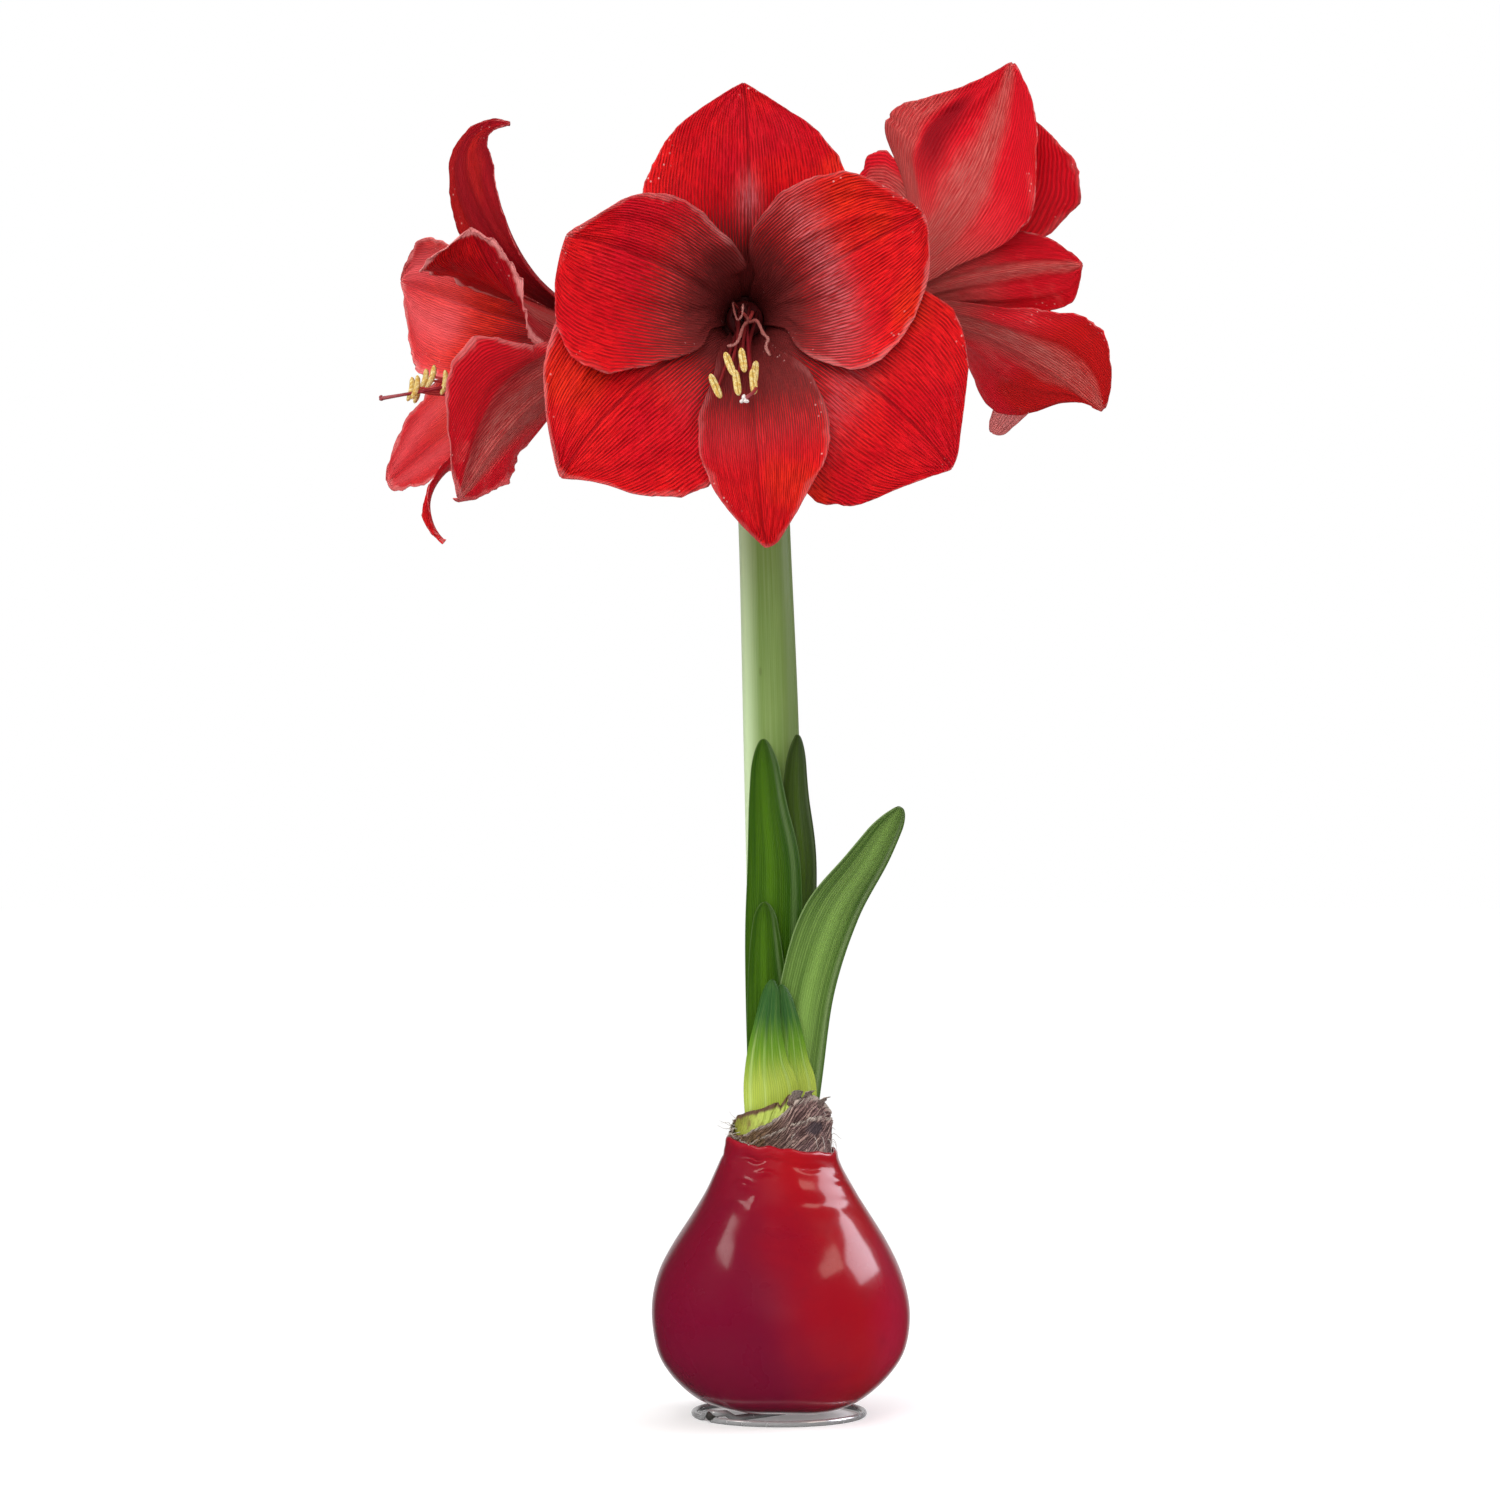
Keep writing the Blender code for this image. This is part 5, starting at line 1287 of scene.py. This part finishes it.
# Where along a tepal its two sides are measured, and half its width there in millimetres: first on the
# side that lies anticlockwise as seen from the bloom's front, then on the other.
SIDE_AT = (0, 0.15, 0.3, 0.45, 0.6, 0.72, 0.84, 0.93, 1)
SIDES = {
    "front_top": ((12, 23, 38, 40, 34, 26, 13.5, 0.6), (12, 23, 36, 37, 33, 24, 11, 0.6)),
    "front_upper_right": ((11, 18, 28, 32.5, 30, 25.5, 14, 2), (11, 20, 34, 45, 37.5, 27.5, 18, 3)),
    "front_upper_left": ((11, 20, 31, 41, 47, 43, 31, 12), (11, 16, 19.5, 24.6, 24.5, 19.5, 8.5, 1)),
    "front_lower_left": ((12, 20, 31, 45, 41, 29, 11.5, 0.6), (12, 17, 25, 36, 37, 27.5, 14, 1)),
    "front_lower_right": ((12, 18, 25, 38, 40.5, 31, 14.5, 3), (12, 20, 31, 44, 44.5, 34.5, 15, 1)),
    "front_bottom": ((8, 11, 22, 27, 25.5, 16.5, 9.5, 3.0), (8, 12, 14, 20.5, 20.5, 15.5, 8, 0.6)),
    "right_top": ((12, 16, 26, 33, 29, 22, 14, 2), (12, 26, 55, 47.5, 32, 17, 8, 1)),
    "right_lower_right": ((14, 24, 37.5, 45, 42, 31, 17, 0.6), (14, 22, 28.7, 31, 28.5, 22, 13.5, 0.6)),
    "right_upper_left": ((11, 12, 15, 19, 19.5, 18, 14, 2), (11, 12, 14, 16, 15, 11, 6, 1)),
    "right_upper_right": ((11, 24, 46, 60, 54, 36, 17, 3), (11, 20, 30, 34, 32, 24, 12, 2)),
    "right_bottom": ((12, 19.5, 26, 28, 22, 11, 6.5, 3.5), (12, 19.5, 26, 28, 22, 11, 6.5, 3.5)),
    "right_lower_left": ((12, 20, 38, 52, 40, 12, 3, 0.6), (12, 13, 17, 27, 38, 38, 26, 6)),
    "left_top": ((11, 18, 21, 18, 13, 7, 3.4, 0.6), (11, 18, 26, 27, 20, 9, 3.8, 0.6)),
    "left_upper_right": ((11, 15, 26, 36, 35, 27, 18, 3), (11, 12, 14, 14, 13, 10, 7, 2)),
    "left_lower_right": ((12, 15, 20, 32, 44, 44, 32, 8), (12, 18, 26, 24, 20, 15, 10, 3)),
    "left_upper_left": ((11, 13, 18, 26, 31, 29, 19, 4), (11, 13, 20, 28, 30, 26, 16, 4)),
    "left_lower_left": ((12, 14, 20, 24, 24, 20, 13, 4), (12, 14, 18, 24, 25, 22, 16, 6)),
}

# A stamen: where round the throat it starts, and how far its end reaches out, right and up, in millimetres.
STAMENS = (
    (20, 66, -4.0, -20.5), (-35, 68, -8.8, -22.0), (80, 72, -0.6, -28.5),
    (-80, 73, -6.4, -29.0), (140, 62, 0.4, -25.0), (-140, 70, -13.8, -30.0),
)
STAMEN_RING = 3.9 * MM  # how far from the bloom's axis they start
FILAMENT_RADIUS = 0.75 * MM
ANTHER_LENGTH, ANTHER_RADIUS = 9.4 * MM, 1.3 * MM
STYLE_REACH, STYLE_DROP = 88 * MM, 27 * MM

# Creases pressed into a tepal: where across it, from and to where along it, how far it swings across on
# the way, how high it stands in millimetres and how wide it is.
CREASES = {
    "front_upper_right": ((-0.42, 0.45, 0.93, 0.16, 1.3, 0.05), (0.55, 0.3, 0.7, 0.1, 0.5, 0.06)),
    "front_upper_left": ((0.5, 0.35, 0.7, 0.14, 0.8, 0.07), (-0.3, 0.5, 0.9, -0.1, 0.5, 0.08),
                         (0.95, 0.26, 0.52, 0.0, 4.0, 0.25)),
    "front_top": ((0.34, 0.35, 0.75, 0.0, 0.5, 0.1), (-0.42, 0.3, 0.7, 0.05, 0.5, 0.1)),
    "front_lower_right": ((-0.25, 0.4, 0.85, -0.15, 0.7, 0.09), (0.3, 0.4, 0.9, 0.1, -0.6, 0.1)),
    "front_bottom": ((0.3, 0.35, 0.8, -0.1, 0.6, 0.1), (-0.3, 0.35, 0.8, 0.1, 0.6, 0.1)),
    "front_lower_left": ((0.42, 0.45, 0.9, 0.1, 1.1, 0.05), (-0.3, 0.4, 0.9, -0.1, -0.6, 0.1)),
    "right_top": ((0.45, 0.35, 0.95, 0.1, -2.2, 0.12), (0.72, 0.3, 0.8, -0.1, 1.4, 0.08),
                  (-0.3, 0.4, 0.9, 0.1, -1.0, 0.1)),
    "right_lower_right": ((0.35, 0.3, 0.9, 0.1, -1.2, 0.12),),
}
# How much farther than on the others the dark of the throat runs on a tepal, in millimetres. On the bottom
# tepal most of it is painted shade, where the tepals above shadow it.
THROAT_LATER = {"front_bottom": 28, "front_lower_left": 10, "front_lower_right": 10, "front_upper_left": 11,
                "front_upper_right": 6, "front_top": 4}
# How strongly each tepal shows its painted sheen, a silvery-pink highlight past the throat, and how far along
# that lies.
PAINTED_SHEEN_BANDS = {"front_upper_right": (1.0, 0.55), "front_top": (1.0, 0.57), "front_upper_left": (0.3, 0.5),
          "front_lower_right": (0.45, 0.54), "front_bottom": (0.12, 0.62), "left_upper_left": (0.12, 0.6),
          "left_lower_left": (0.3, 0.6)}


def bloom_axes(bloom):
    """The way a bloom faces, and its own up and right, as seen from its front."""
    faces = unit(bloom.faces)
    up = unit(np.array([0, 0, 1]) - faces * faces[2])
    right = np.cross(up, faces)
    turn = radians(bloom.roll)
    return faces, up * cos(turn) + right * sin(turn), right * cos(turn) - up * sin(turn)


def side_line(foot, halves, s):
    """Half a tepal's width on one side at s, with the corners of its measurements eased."""
    fine = np.linspace(-0.1, 1.1, 241)
    line = np.interp(fine, SIDE_AT, MM * np.array([foot / MM, *halves]))
    eased = np.convolve(np.pad(line, 6, "edge"), np.ones(13) / 13, "valid")
    return np.interp(s, fine, eased)


def narrow_half(foot, s):
    """The same for a narrow tepal with a long drawn tip, whose two sides are alike."""
    widest, half = 0.58, 18 * MM
    taper = np.clip((s - widest) / (1 - widest), 0, 1)
    return (foot + (half - foot) * smooth_step(s / widest) ** 0.8) * (1 - taper**2) ** 1.5


def tepal_surface(bloom, tepal, rows, columns):
    """The middle surface of one tepal, and what its finish reads there."""
    name = f"{bloom.name}_{tepal.place}"
    faces, up, right = bloom_axes(bloom)
    outer = tepal.place in ("top", "lower_right", "lower_left")
    fine = np.linspace(0, 1, 401)
    slope = np.radians(spline(tepal.flare, 401))
    step = tepal.length * MM / 400
    start = OUTER_FOOT if outer else INNER_FOOT
    between = (slope[1:] + slope[:-1]) / 2
    out = start + running(np.sin(between) * step)
    ahead = CLEAR - TUBE_CUP + running(np.cos(between) * step)
    s = 1 - (1 - np.linspace(0, 1, rows)) ** 1.5
    slope, out, ahead = (np.interp(s, fine, values)[:, None] for values in (slope, out, ahead))
    s = s[:, None]
    v = np.linspace(-1, 1, columns)[None, :]

    foot = start * (0.98 if outer else 0.96)
    if name in SIDES:
        first, other = SIDES[name]
        half = np.where(v < 0, side_line(foot, first, s), side_line(foot, other, s))
    else:
        half = narrow_half(foot, s) + 0 * v
    room = out * (1 + 3 * smooth_step((s - 0.25) / 0.3))
    half = (np.maximum(half, 0.1 * MM) ** -4.0 + room**-4.0) ** -0.25
    end = ((s - 0.975) / 0.025).clip(0, 1)
    half = np.maximum(half * np.sqrt(1 - 0.97 * end**2), 0.25 * MM)
    seed = sum(map(ord, name))
    nibbles = np.where(v > 0, wander(s * 55, seed, 6), wander(s * 55, seed + 7, 6)) * np.abs(v) ** 8
    half_here = half * (1 + 0.012 * smooth_step((s - 0.35) / 0.2) * nibbles)

    clock = np.radians(tepal.clock + tepal.sway * s**2)
    radial, across = swung(up, right, clock), swung(right, -up, clock)
    inward = swung(-radial, faces, slope)
    twist = np.radians(tepal.twist) * s**2
    across, inward = swung(across, inward, twist), swung(inward, -across, twist)
    round_it = np.cos(slope) / out + tepal.cup * smooth_step(s * 2)
    angle = half_here * v * round_it
    flat = np.abs(round_it) < 1
    safe = np.where(flat, 1, round_it)
    aside = np.where(flat, half_here * v, np.sin(angle) / safe)
    lift = np.where(flat, 0, (1 - np.cos(angle)) / safe)
    waves = tepal.wave * MM * smooth_step((s - 0.3) / 0.3) * np.abs(v) ** 2.5
    lift = lift + waves * np.sin(13 * s + tepal.phase + np.where(v < 0, 1.9, 0))
    lift = lift + relief(name, seed, s, v, half)
    middle = faces * ahead[..., None] + radial * out[..., None]
    places = MM * np.array(bloom.throat) + middle + across * aside[..., None] + inward * lift[..., None]
    fan = v * (half / half.max()) ** 0.55
    rim = np.minimum((1 - np.abs(v)) * half / MM, (1 - s) * tepal.length + 0.15)
    return places, 0.5 + 0.5 * fan, s + 0 * v, rim, s * tepal.length - THROAT_LATER.get(name, 0) + 0 * v


def relief(name, seed, s, v, half):
    """The midrib's channel, the soft ribs beside it, creases and the crimp of the margin."""
    open_part = smooth_step((s - 0.15) / 0.25)
    channel = -0.9 * MM * hill(v * half, 0, 1.5 * MM) * open_part * smooth_step((1 - s) / 0.12)
    ribs = 0.16 * MM * np.cos(9 * pi * v + 1.5 * np.sin(3 * s)) * open_part * (1 - v**4)
    ribs = ribs + 0.35 * MM * np.sin(4.2 * pi * v + seed) * open_part * smooth_step((1 - s) / 0.3)
    strength = 0.55 + (1.1 * max(RUFFLED.get(name, (0, 0))) if name.startswith("left") else 0)
    crimp = strength * MM * smooth_step((np.abs(v) - 0.8) / 0.2) * smooth_step((s - 0.4) / 0.2)
    crimp = crimp * np.where(v > 0, wander(s * 42 + 3 * v, seed + 2, 5), wander(s * 42, seed + 4, 5))
    total = channel + ribs + crimp
    total = total + 0.7 * MM * wander(5 * v, seed + 9, 3) * wander(7 * s, seed + 10, 3) * open_part
    if name == "left_lower_right":
        folded = smooth_step((fold_line(s) - v) / 0.1) * smooth_step((s - 0.4) / 0.15)
        total = total - 2.2 * MM * folded * smooth_step((1 - s) / 0.12)
    for place, first, last, swing, height, width in CREASES.get(name, ()):
        here = np.clip((s - first) / (last - first), 0, 1)
        ends = smooth_step(here * 4) * smooth_step((1 - here) * 4)
        total = total + height * MM * hill(v, place + swing * here**2, width) * ends
    return total


def painted_sheen_band(name, s, v):
    """The painted sheen: a silvery-pink highlight on a tepal between its dark throat and its open blade."""
    strength, place = PAINTED_SHEEN_BANDS.get(name, (0.12, 0.5))
    if name == "front_top":
        return strength * hill(s, place, 0.09) * hill(v, 0.0, 0.1)
    lean = -0.05 * v if name == "front_upper_right" else 0.03 * np.sin(2.2 * v + 0.6)
    return strength * hill(s, place + lean, 0.085) * (1 - 0.5 * np.abs(v) ** 2)


# Tepals with a pale, ruffled margin: how strongly, on the anticlockwise side and on the other.
RUFFLED = {"left_upper_right": (0.95, 0.95), "left_lower_right": (0.5, 0.3), "left_upper_left": (0.5, 0.5),
           "left_lower_left": (0.4, 0.4), "right_upper_right": (0.2, 0.2), "front_upper_left": (0.05, 0.3),
           "front_upper_right": (0.1, 0.3), "front_lower_left": (0.2, 0.35), "front_bottom": (0.15, 0.15)}


def pale_margin(name, rim, s, v, seed):
    """The pale band along a ruffled margin, of uneven width."""
    sides = RUFFLED.get(name, (0, 0))
    width = 2.0 + max(sides) + 1.3 * wander(s * 30 + (v > 0), seed, 5)
    band = np.where(v < 0, *sides) * smooth_step((width - rim) / 1.6) * smooth_step((s - 0.3) / 0.2)
    return band + (0.75 * smooth_step((s - 0.78) / 0.16) if name == "right_bottom" else 0)


def fold_line(s):
    """Where the left bloom's near lower tepal is folded over."""
    return -0.78 + 1.15 * (s - 0.45)


def blush_and_painted_shade(name, s, v):
    """Where a tepal turns pinkish (below 0 redder), and where painted shade darkens it: along its folds and
    over the left bloom's upper tepals.
    """
    open_part = smooth_step((s - 0.25) / 0.25)
    blush, dusk = 0 * s * v, 0 * s * v
    if name in ("left_upper_left", "left_lower_left"):
        share = 0.6 if name == "left_upper_left" else 0.42
        blush = smooth_step((s - 0.56) / 0.18) * share * (1 + 0.3 * np.sin(7 * v + 5 * s))
    if name == "left_lower_right":
        past = smooth_step((v - fold_line(s)) / 0.1)
        blush = open_part * (1.6 * past * smooth_step((0.75 - v) / 0.4) - 1)
        # Painted shadow just past the fold.
        dusk = 0.55 * open_part * hill(v, fold_line(s) + 0.14, 0.1)
    if name == "left_upper_right":
        dusk = 0.45 * open_part * smooth_step((v + 0.1) / 0.5)
    if name == "left_top":
        dusk = 0.8 + 0.15 * np.sin(5 * v + 4 * s)
    if name == "right_top":
        fold = 0.58 + 0.7 * (s - 0.5)
        blush = open_part * (0.85 * smooth_step((v - fold) / 0.1) * smooth_step((0.88 - s) / 0.22) - 0.15)
        # Painted shadow along the fold.
        dusk = smooth_step((fold + 0.04 - v) / 0.07) * smooth_step((v + 0.36 - fold) / 0.2)
        dusk = 0.9 * dusk * smooth_step((s - 0.36) / 0.22) * smooth_step((0.86 - s) / 0.14)
    elif name.startswith("right_"):
        blush = blush - (1 if name == "right_upper_right" else 0.12) * open_part
    if name == "right_lower_left":
        blush = open_part * (1.2 * hill(v, 0.28, 0.2) - 0.5)
    if name == "right_lower_right":
        blush = open_part * (0.8 * smooth_step((v + 0.93) / 0.12) - 0.2)
    return blush, dusk


def tepal_blade(bloom, tepal, velvet):
    """One tepal with its wall, thinner towards the margin, and the notes that its finish reads."""
    rows, columns = (92, 75) if bloom is FRONT else (76, 57)
    places, fan, s, rim, reach = tepal_surface(bloom, tepal, rows, columns)
    v = np.linspace(-1, 1, columns)[None, :]
    name = f"{bloom.name}_{tepal.place}"
    thin = smooth_step(np.abs(v)) + 0 * s
    blush, dusk = blush_and_painted_shade(name, s, v)
    margin = pale_margin(name, rim, s, v, len(name))
    piece = sheet(
        name + "_petal", places, (fan, s), rim=rim, reach=reach, silver=painted_sheen_band(name, s, v),
        thin=thin, blush=blush, dusk=dusk, margin=margin,
    )
    thicken(piece, TEPAL_WALL, TEPAL_MARGIN)
    return dress(piece, velvet, f"{bloom.name}_tepal_{tepal.place}")


def pedicel_line(bloom, count):
    """From the scape's head, up and over, to the middle of the bloom's throat."""
    faces, _, _ = bloom_axes(bloom)
    throat = MM * np.array(bloom.throat)
    head = SCAPE_PATH[-1]
    upward = unit(head - spline(SCAPE_PATH, 9)[-2])
    aside = heading(bloom.foot)
    aside = unit(aside - upward * (aside @ upward))
    foot = head + aside * PEDICEL_SPREAD - upward * 0.2 * MM
    rise = upward * 22 * MM
    back = faces * 30 * MM
    t = np.linspace(0, 1, count)[:, None]
    start = (1 - t) ** 2 * ((1 + 2 * t) * foot + 3 * t * rise)
    return start + t**2 * (3 * (1 - t) * (throat - back) + t * throat)


def pedicel(bloom, skin):
    """Pedicel, three-lobed ovary and perianth tube, with a cup that the tepals stand in."""
    fine = pedicel_line(bloom, 400)
    left = running(np.linalg.norm(np.diff(fine, axis=0), axis=1))
    left = left[-1] - left
    whole = left[0]
    rows = 90
    places = whole * (1 - np.linspace(0, 1, rows) ** 0.8)
    table = spline(TUBE_STATIONS, 120)
    stem = np.interp(places, [38 * MM, whole - 5 * MM, whole], MM * np.array([3.8, 3.6, 4.6]))
    radii = np.where(places > TUBE_STATIONS[-1, 0], stem, np.interp(places, table[:, 0], table[:, 1]))
    path = read_off(-places, -left, fine)
    faces, _, right = bloom_axes(bloom)
    turns = np.linspace(0, 2 * pi, 73)
    lobes = 0.09 * hill(places, 26 * MM, 6 * MM)[:, None] * np.cos(3 * turns)
    flutes = 0.035 * hill(places, 3 * MM, 9 * MM)[:, None] * np.cos(6 * turns) + 0.012 * np.sin(9 * turns)
    rings = rings_along(path, frames_along(path, right), turns, radii[:, None] * (1 + lobes + flutes))
    middle = path[-1]
    inner = [middle + (rings[-1] - middle) * share - faces * depth * MM
             for share, depth in ((0.97, -0.25), (0.94, 0), (0.93, 2), (0.9, 4), (0.82, 5), (0.4, 5), (0, 5))]
    rings = np.concatenate([path[:1, None] + 0 * rings[:1], rings, np.array(inner)])
    rings[:, -1] = rings[:, 0]
    behind = np.concatenate([[whole], places, [0] + [-6 * MM] * (len(inner) - 1)])[:, None] / MM + 0 * turns
    piece = close_seams(sheet(bloom.name + "_pedicel_and_tube", rings, behind=behind))
    return dress(piece, skin, bloom.name + "_pedicel")


def stamen_line(bloom, stamen, count):
    """A filament's middle line: out of the throat, down along the lower tepals, and up at its end."""
    faces, up, right = bloom_axes(bloom)
    clock, reach, aside, drop = stamen * np.array([1, bloom.poise[0], 1, bloom.poise[1]])
    foot = STAMEN_RING * (up * cos(radians(clock)) + right * sin(radians(clock)))
    controls = [
        foot + faces * -3.6 * MM,
        foot + faces * 6 * MM,
        faces * 0.45 * reach * MM + right * aside * 0.5 * MM + up * (drop * 0.5) * MM,
        faces * 0.8 * reach * MM + right * aside * 0.9 * MM + up * (drop * 0.96 - 1) * MM,
        faces * reach * MM + right * aside * MM + up * drop * MM,
    ]
    return MM * np.array(bloom.throat) + spline(controls, count)


def anther(name, middle, lean, bow, side):
    """Two pollen sacs with a seam between them, slung across the end of a filament."""
    rows, around = 36, 28
    p = np.linspace(-1, 1, rows)
    path = middle + np.outer(p, lean) * ANTHER_LENGTH / 2 - np.outer(1 - p * p, bow) * 0.9 * MM
    radii = ANTHER_RADIUS * np.maximum((1 - np.abs(p) ** 3.2), 0.02) ** 0.5

    def sacs(share, turns):
        seam = np.abs(np.cos(turns))
        lumps = 0.05 * np.sin(17 * share + 3 * turns) * np.sin(9 * turns + 23 * share)
        return 0.7 + 0.34 * seam**0.7 + lumps

    turns = np.linspace(0, 2 * pi, around + 1)
    seam = np.broadcast_to(1 - np.abs(np.cos(turns)), (rows + 2, around + 1)) ** 4
    return tube(name, path, radii, around, side, sacs, seam=seam)


def throat_loops():
    """Three withered, pinkish threads that loop over the front bloom's throat."""
    faces, up, right = bloom_axes(FRONT)
    throat = MM * np.array(FRONT.throat)
    # Each: where it starts in the tube, where it shows in the picture and at what depth, and its radius.
    loops = (
        (((0.5, 0.5, -3.5), (2, 1, 14)),
         ((749, 322, -76), (757, 321, -82), (763, 333, -86), (768, 339, -88), (766, 347, -89),
          (770, 356, -90)), 0.66),
        (((-0.5, 0.5, -3.5), (-2, 1, 14)),
         ((748, 320, -75), (743, 327, -82), (739, 339, -86), (734, 345, -88), (727, 346, -89)), 0.62),
        (((-1.5, 2.5, -3.5), (-3, 3, 8)),
         ((733, 303, -66), (735, 314, -72), (738, 320, -75), (742, 315, -76), (743, 304, -74)), 0.42),
    )
    pieces = []
    q = np.linspace(0, 1, 70)
    along = 1.1 + 1.1 * smooth_step((q - 0.2) / 0.7)
    for number, (roots, shown, radius) in enumerate(loops):
        start = [throat + MM * (right * a + up * b + faces * c) for a, b, c in roots]
        line = spline(start + [seen_at(px, py, y * MM) for px, py, y in shown], len(q))
        knobs = (1 + 0.25 * wander(q * 40, number)) * np.interp(q, [0, 0.9, 0.95, 1], [1, 0.9, 1.2, 0.5])
        pieces.append(tube(f"loop_{number}", line, radius * MM * knobs, 12, along=along))
    return pieces


def stamens(bloom, skin, pollen):
    """Six filaments on the dark floor of the throat, and the anthers that they carry."""
    faces, up, right = bloom_axes(bloom)
    threads, heads = [], []
    for number, stamen in enumerate(STAMENS):
        line = stamen_line(bloom, stamen, 60)
        q = np.linspace(0, 1, 60)
        radii = FILAMENT_RADIUS * np.interp(q, [0, 0.3, 0.9, 1], [1.1, 0.85, 0.65, 0.35])
        threads.append(tube(f"filament_{number}", line, radii, 14, up, along=q))
        tilt = right * (0.03 * stamen[2] + 0.1 * sin(5 * number)) - faces * (0.25 + 0.1 * cos(7 * number))
        heads.append(anther(f"anther_{number}", line[-1], unit(up + tilt), faces, right))
    floor = MM * np.array(bloom.throat) + faces * (CLEAR - TUBE_CUP)
    steps = [floor + faces * ahead * MM for ahead in (0, 2.2, 3)]
    disc = tube("throat_floor", steps, MM * np.array([6.7, 6.7, 5.6]), 40, up, along=0)
    if bloom is FRONT:
        threads += throat_loops()
    filaments = joined(bloom.name + "_filaments", [disc, *threads])
    dress(filaments, skin, bloom.name + "_stamens")
    dress(joined(bloom.name + "_anthers", heads), pollen, None)


def style(bloom, skin, down):
    """The style, and the three curled lobes of its stigma."""
    faces, up, right = bloom_axes(bloom)
    controls = np.array([
        faces * -1.0 * MM,
        faces * 8 * MM - up * 0.9 * MM,
        faces * 0.5 * STYLE_REACH - up * 0.72 * STYLE_DROP - right * 0.6 * MM,
        faces * 0.8 * STYLE_REACH - up * 1.12 * STYLE_DROP + right * 0.4 * MM,
        faces * STYLE_REACH - up * (STYLE_DROP + 9 * MM) - right * 4.6 * MM,
    ])
    for share, way in ((min(bloom.poise[0], 1), faces), (bloom.poise[1], up)):
        controls = controls + np.outer(controls @ way * (share - 1), way)
    line = MM * np.array(bloom.throat) + spline(controls, 80)
    q = np.linspace(0, 1, 80)
    radii = MM * np.interp(q, [0, 0.9, 1], [0.8, 0.62, 0.75])
    stalk = tube(bloom.name + "_style_stalk", line, radii, 16, up, along=q)
    dress(stalk, skin, bloom.name + "_style")
    end, way = line[-1], unit(line[-1] - line[-4])
    side = unit(np.cross(way, up))
    lift = np.cross(side, way)
    lobes = []
    for k in range(3):
        turn = radians(90 + 120 * k)
        out = side * cos(turn) + lift * sin(turn)
        steps = ((-0.5, 0), (0.5, 0.4), (0.7, 0.95), (0.1, 1.3), (-0.5, 1.1))
        lobe = spline([end + (way * ahead + out * aside) * MM for ahead, aside in steps], 20)
        radii = MM * np.interp(np.linspace(0, 1, 20), [0, 0.4, 1], [0.6, 0.7, 0.45])
        if bloom is LEFT:
            lobe, radii = end + (lobe - end) * 0.7, radii * 0.7
        lobes.append(tube(f"lobe_{k}", lobe, radii, 12, way, along=0.9))
    dress(joined(bloom.name + "_stigma", lobes), skin if bloom is LEFT else down, None)


# ---- the whole plant ----
photo_camera()
surround()
lamps()
pale_floor()

ring_stand(steel_finish())
wax_dip(wax_finish())
tunic(tunic_finish())
green_sheath(sheath_finish())
wisps(fibre_finish())
scape(scape_finish())
leaf_finishes = {
    "dark": leaf_finish("dark_leaf_skin", (0.022, 0.08, 0.001), (0.05, 0.13, 0.001), (0.16, 0.28, 0.07),
                        (0.08, 0.17, 0.01), 0.3, 0.2),
    "olive": leaf_finish("olive_leaf_skin", (0.024, 0.052, 0.001), (0.04, 0.08, 0.002), (0.1, 0.16, 0.04),
                         (0.07, 0.12, 0.01), 0.32, 0.15),
    "grey": leaf_finish("grey_green_leaf_skin", (0.06, 0.14, 0.014), (0.17, 0.3, 0.055), (0.3, 0.42, 0.17),
                        (0.1, 0.17, 0.03), 0.34, 0.24),
    "young": young_finish(),
}
for leaf in LEAVES:
    leaf_blade(leaf, leaf_finishes)
bract_paper = spathe_finish()
withered_bract("bract_left", 200, bract_paper)
withered_bract("bract_right", 20, bract_paper)
velvet, stalk_skin = petal_finish(), pedicel_finish()
filament_skin, pollen = filament_finish(), pollen_finish()
style_skin, stigma_down = style_finish(), stigma_finish()
for bloom in BLOOMS:
    pedicel(bloom, stalk_skin)
    for tepal in bloom.tepals:
        tepal_blade(bloom, tepal, velvet)
    stamens(bloom, filament_skin, pollen)
    style(bloom, style_skin, stigma_down)
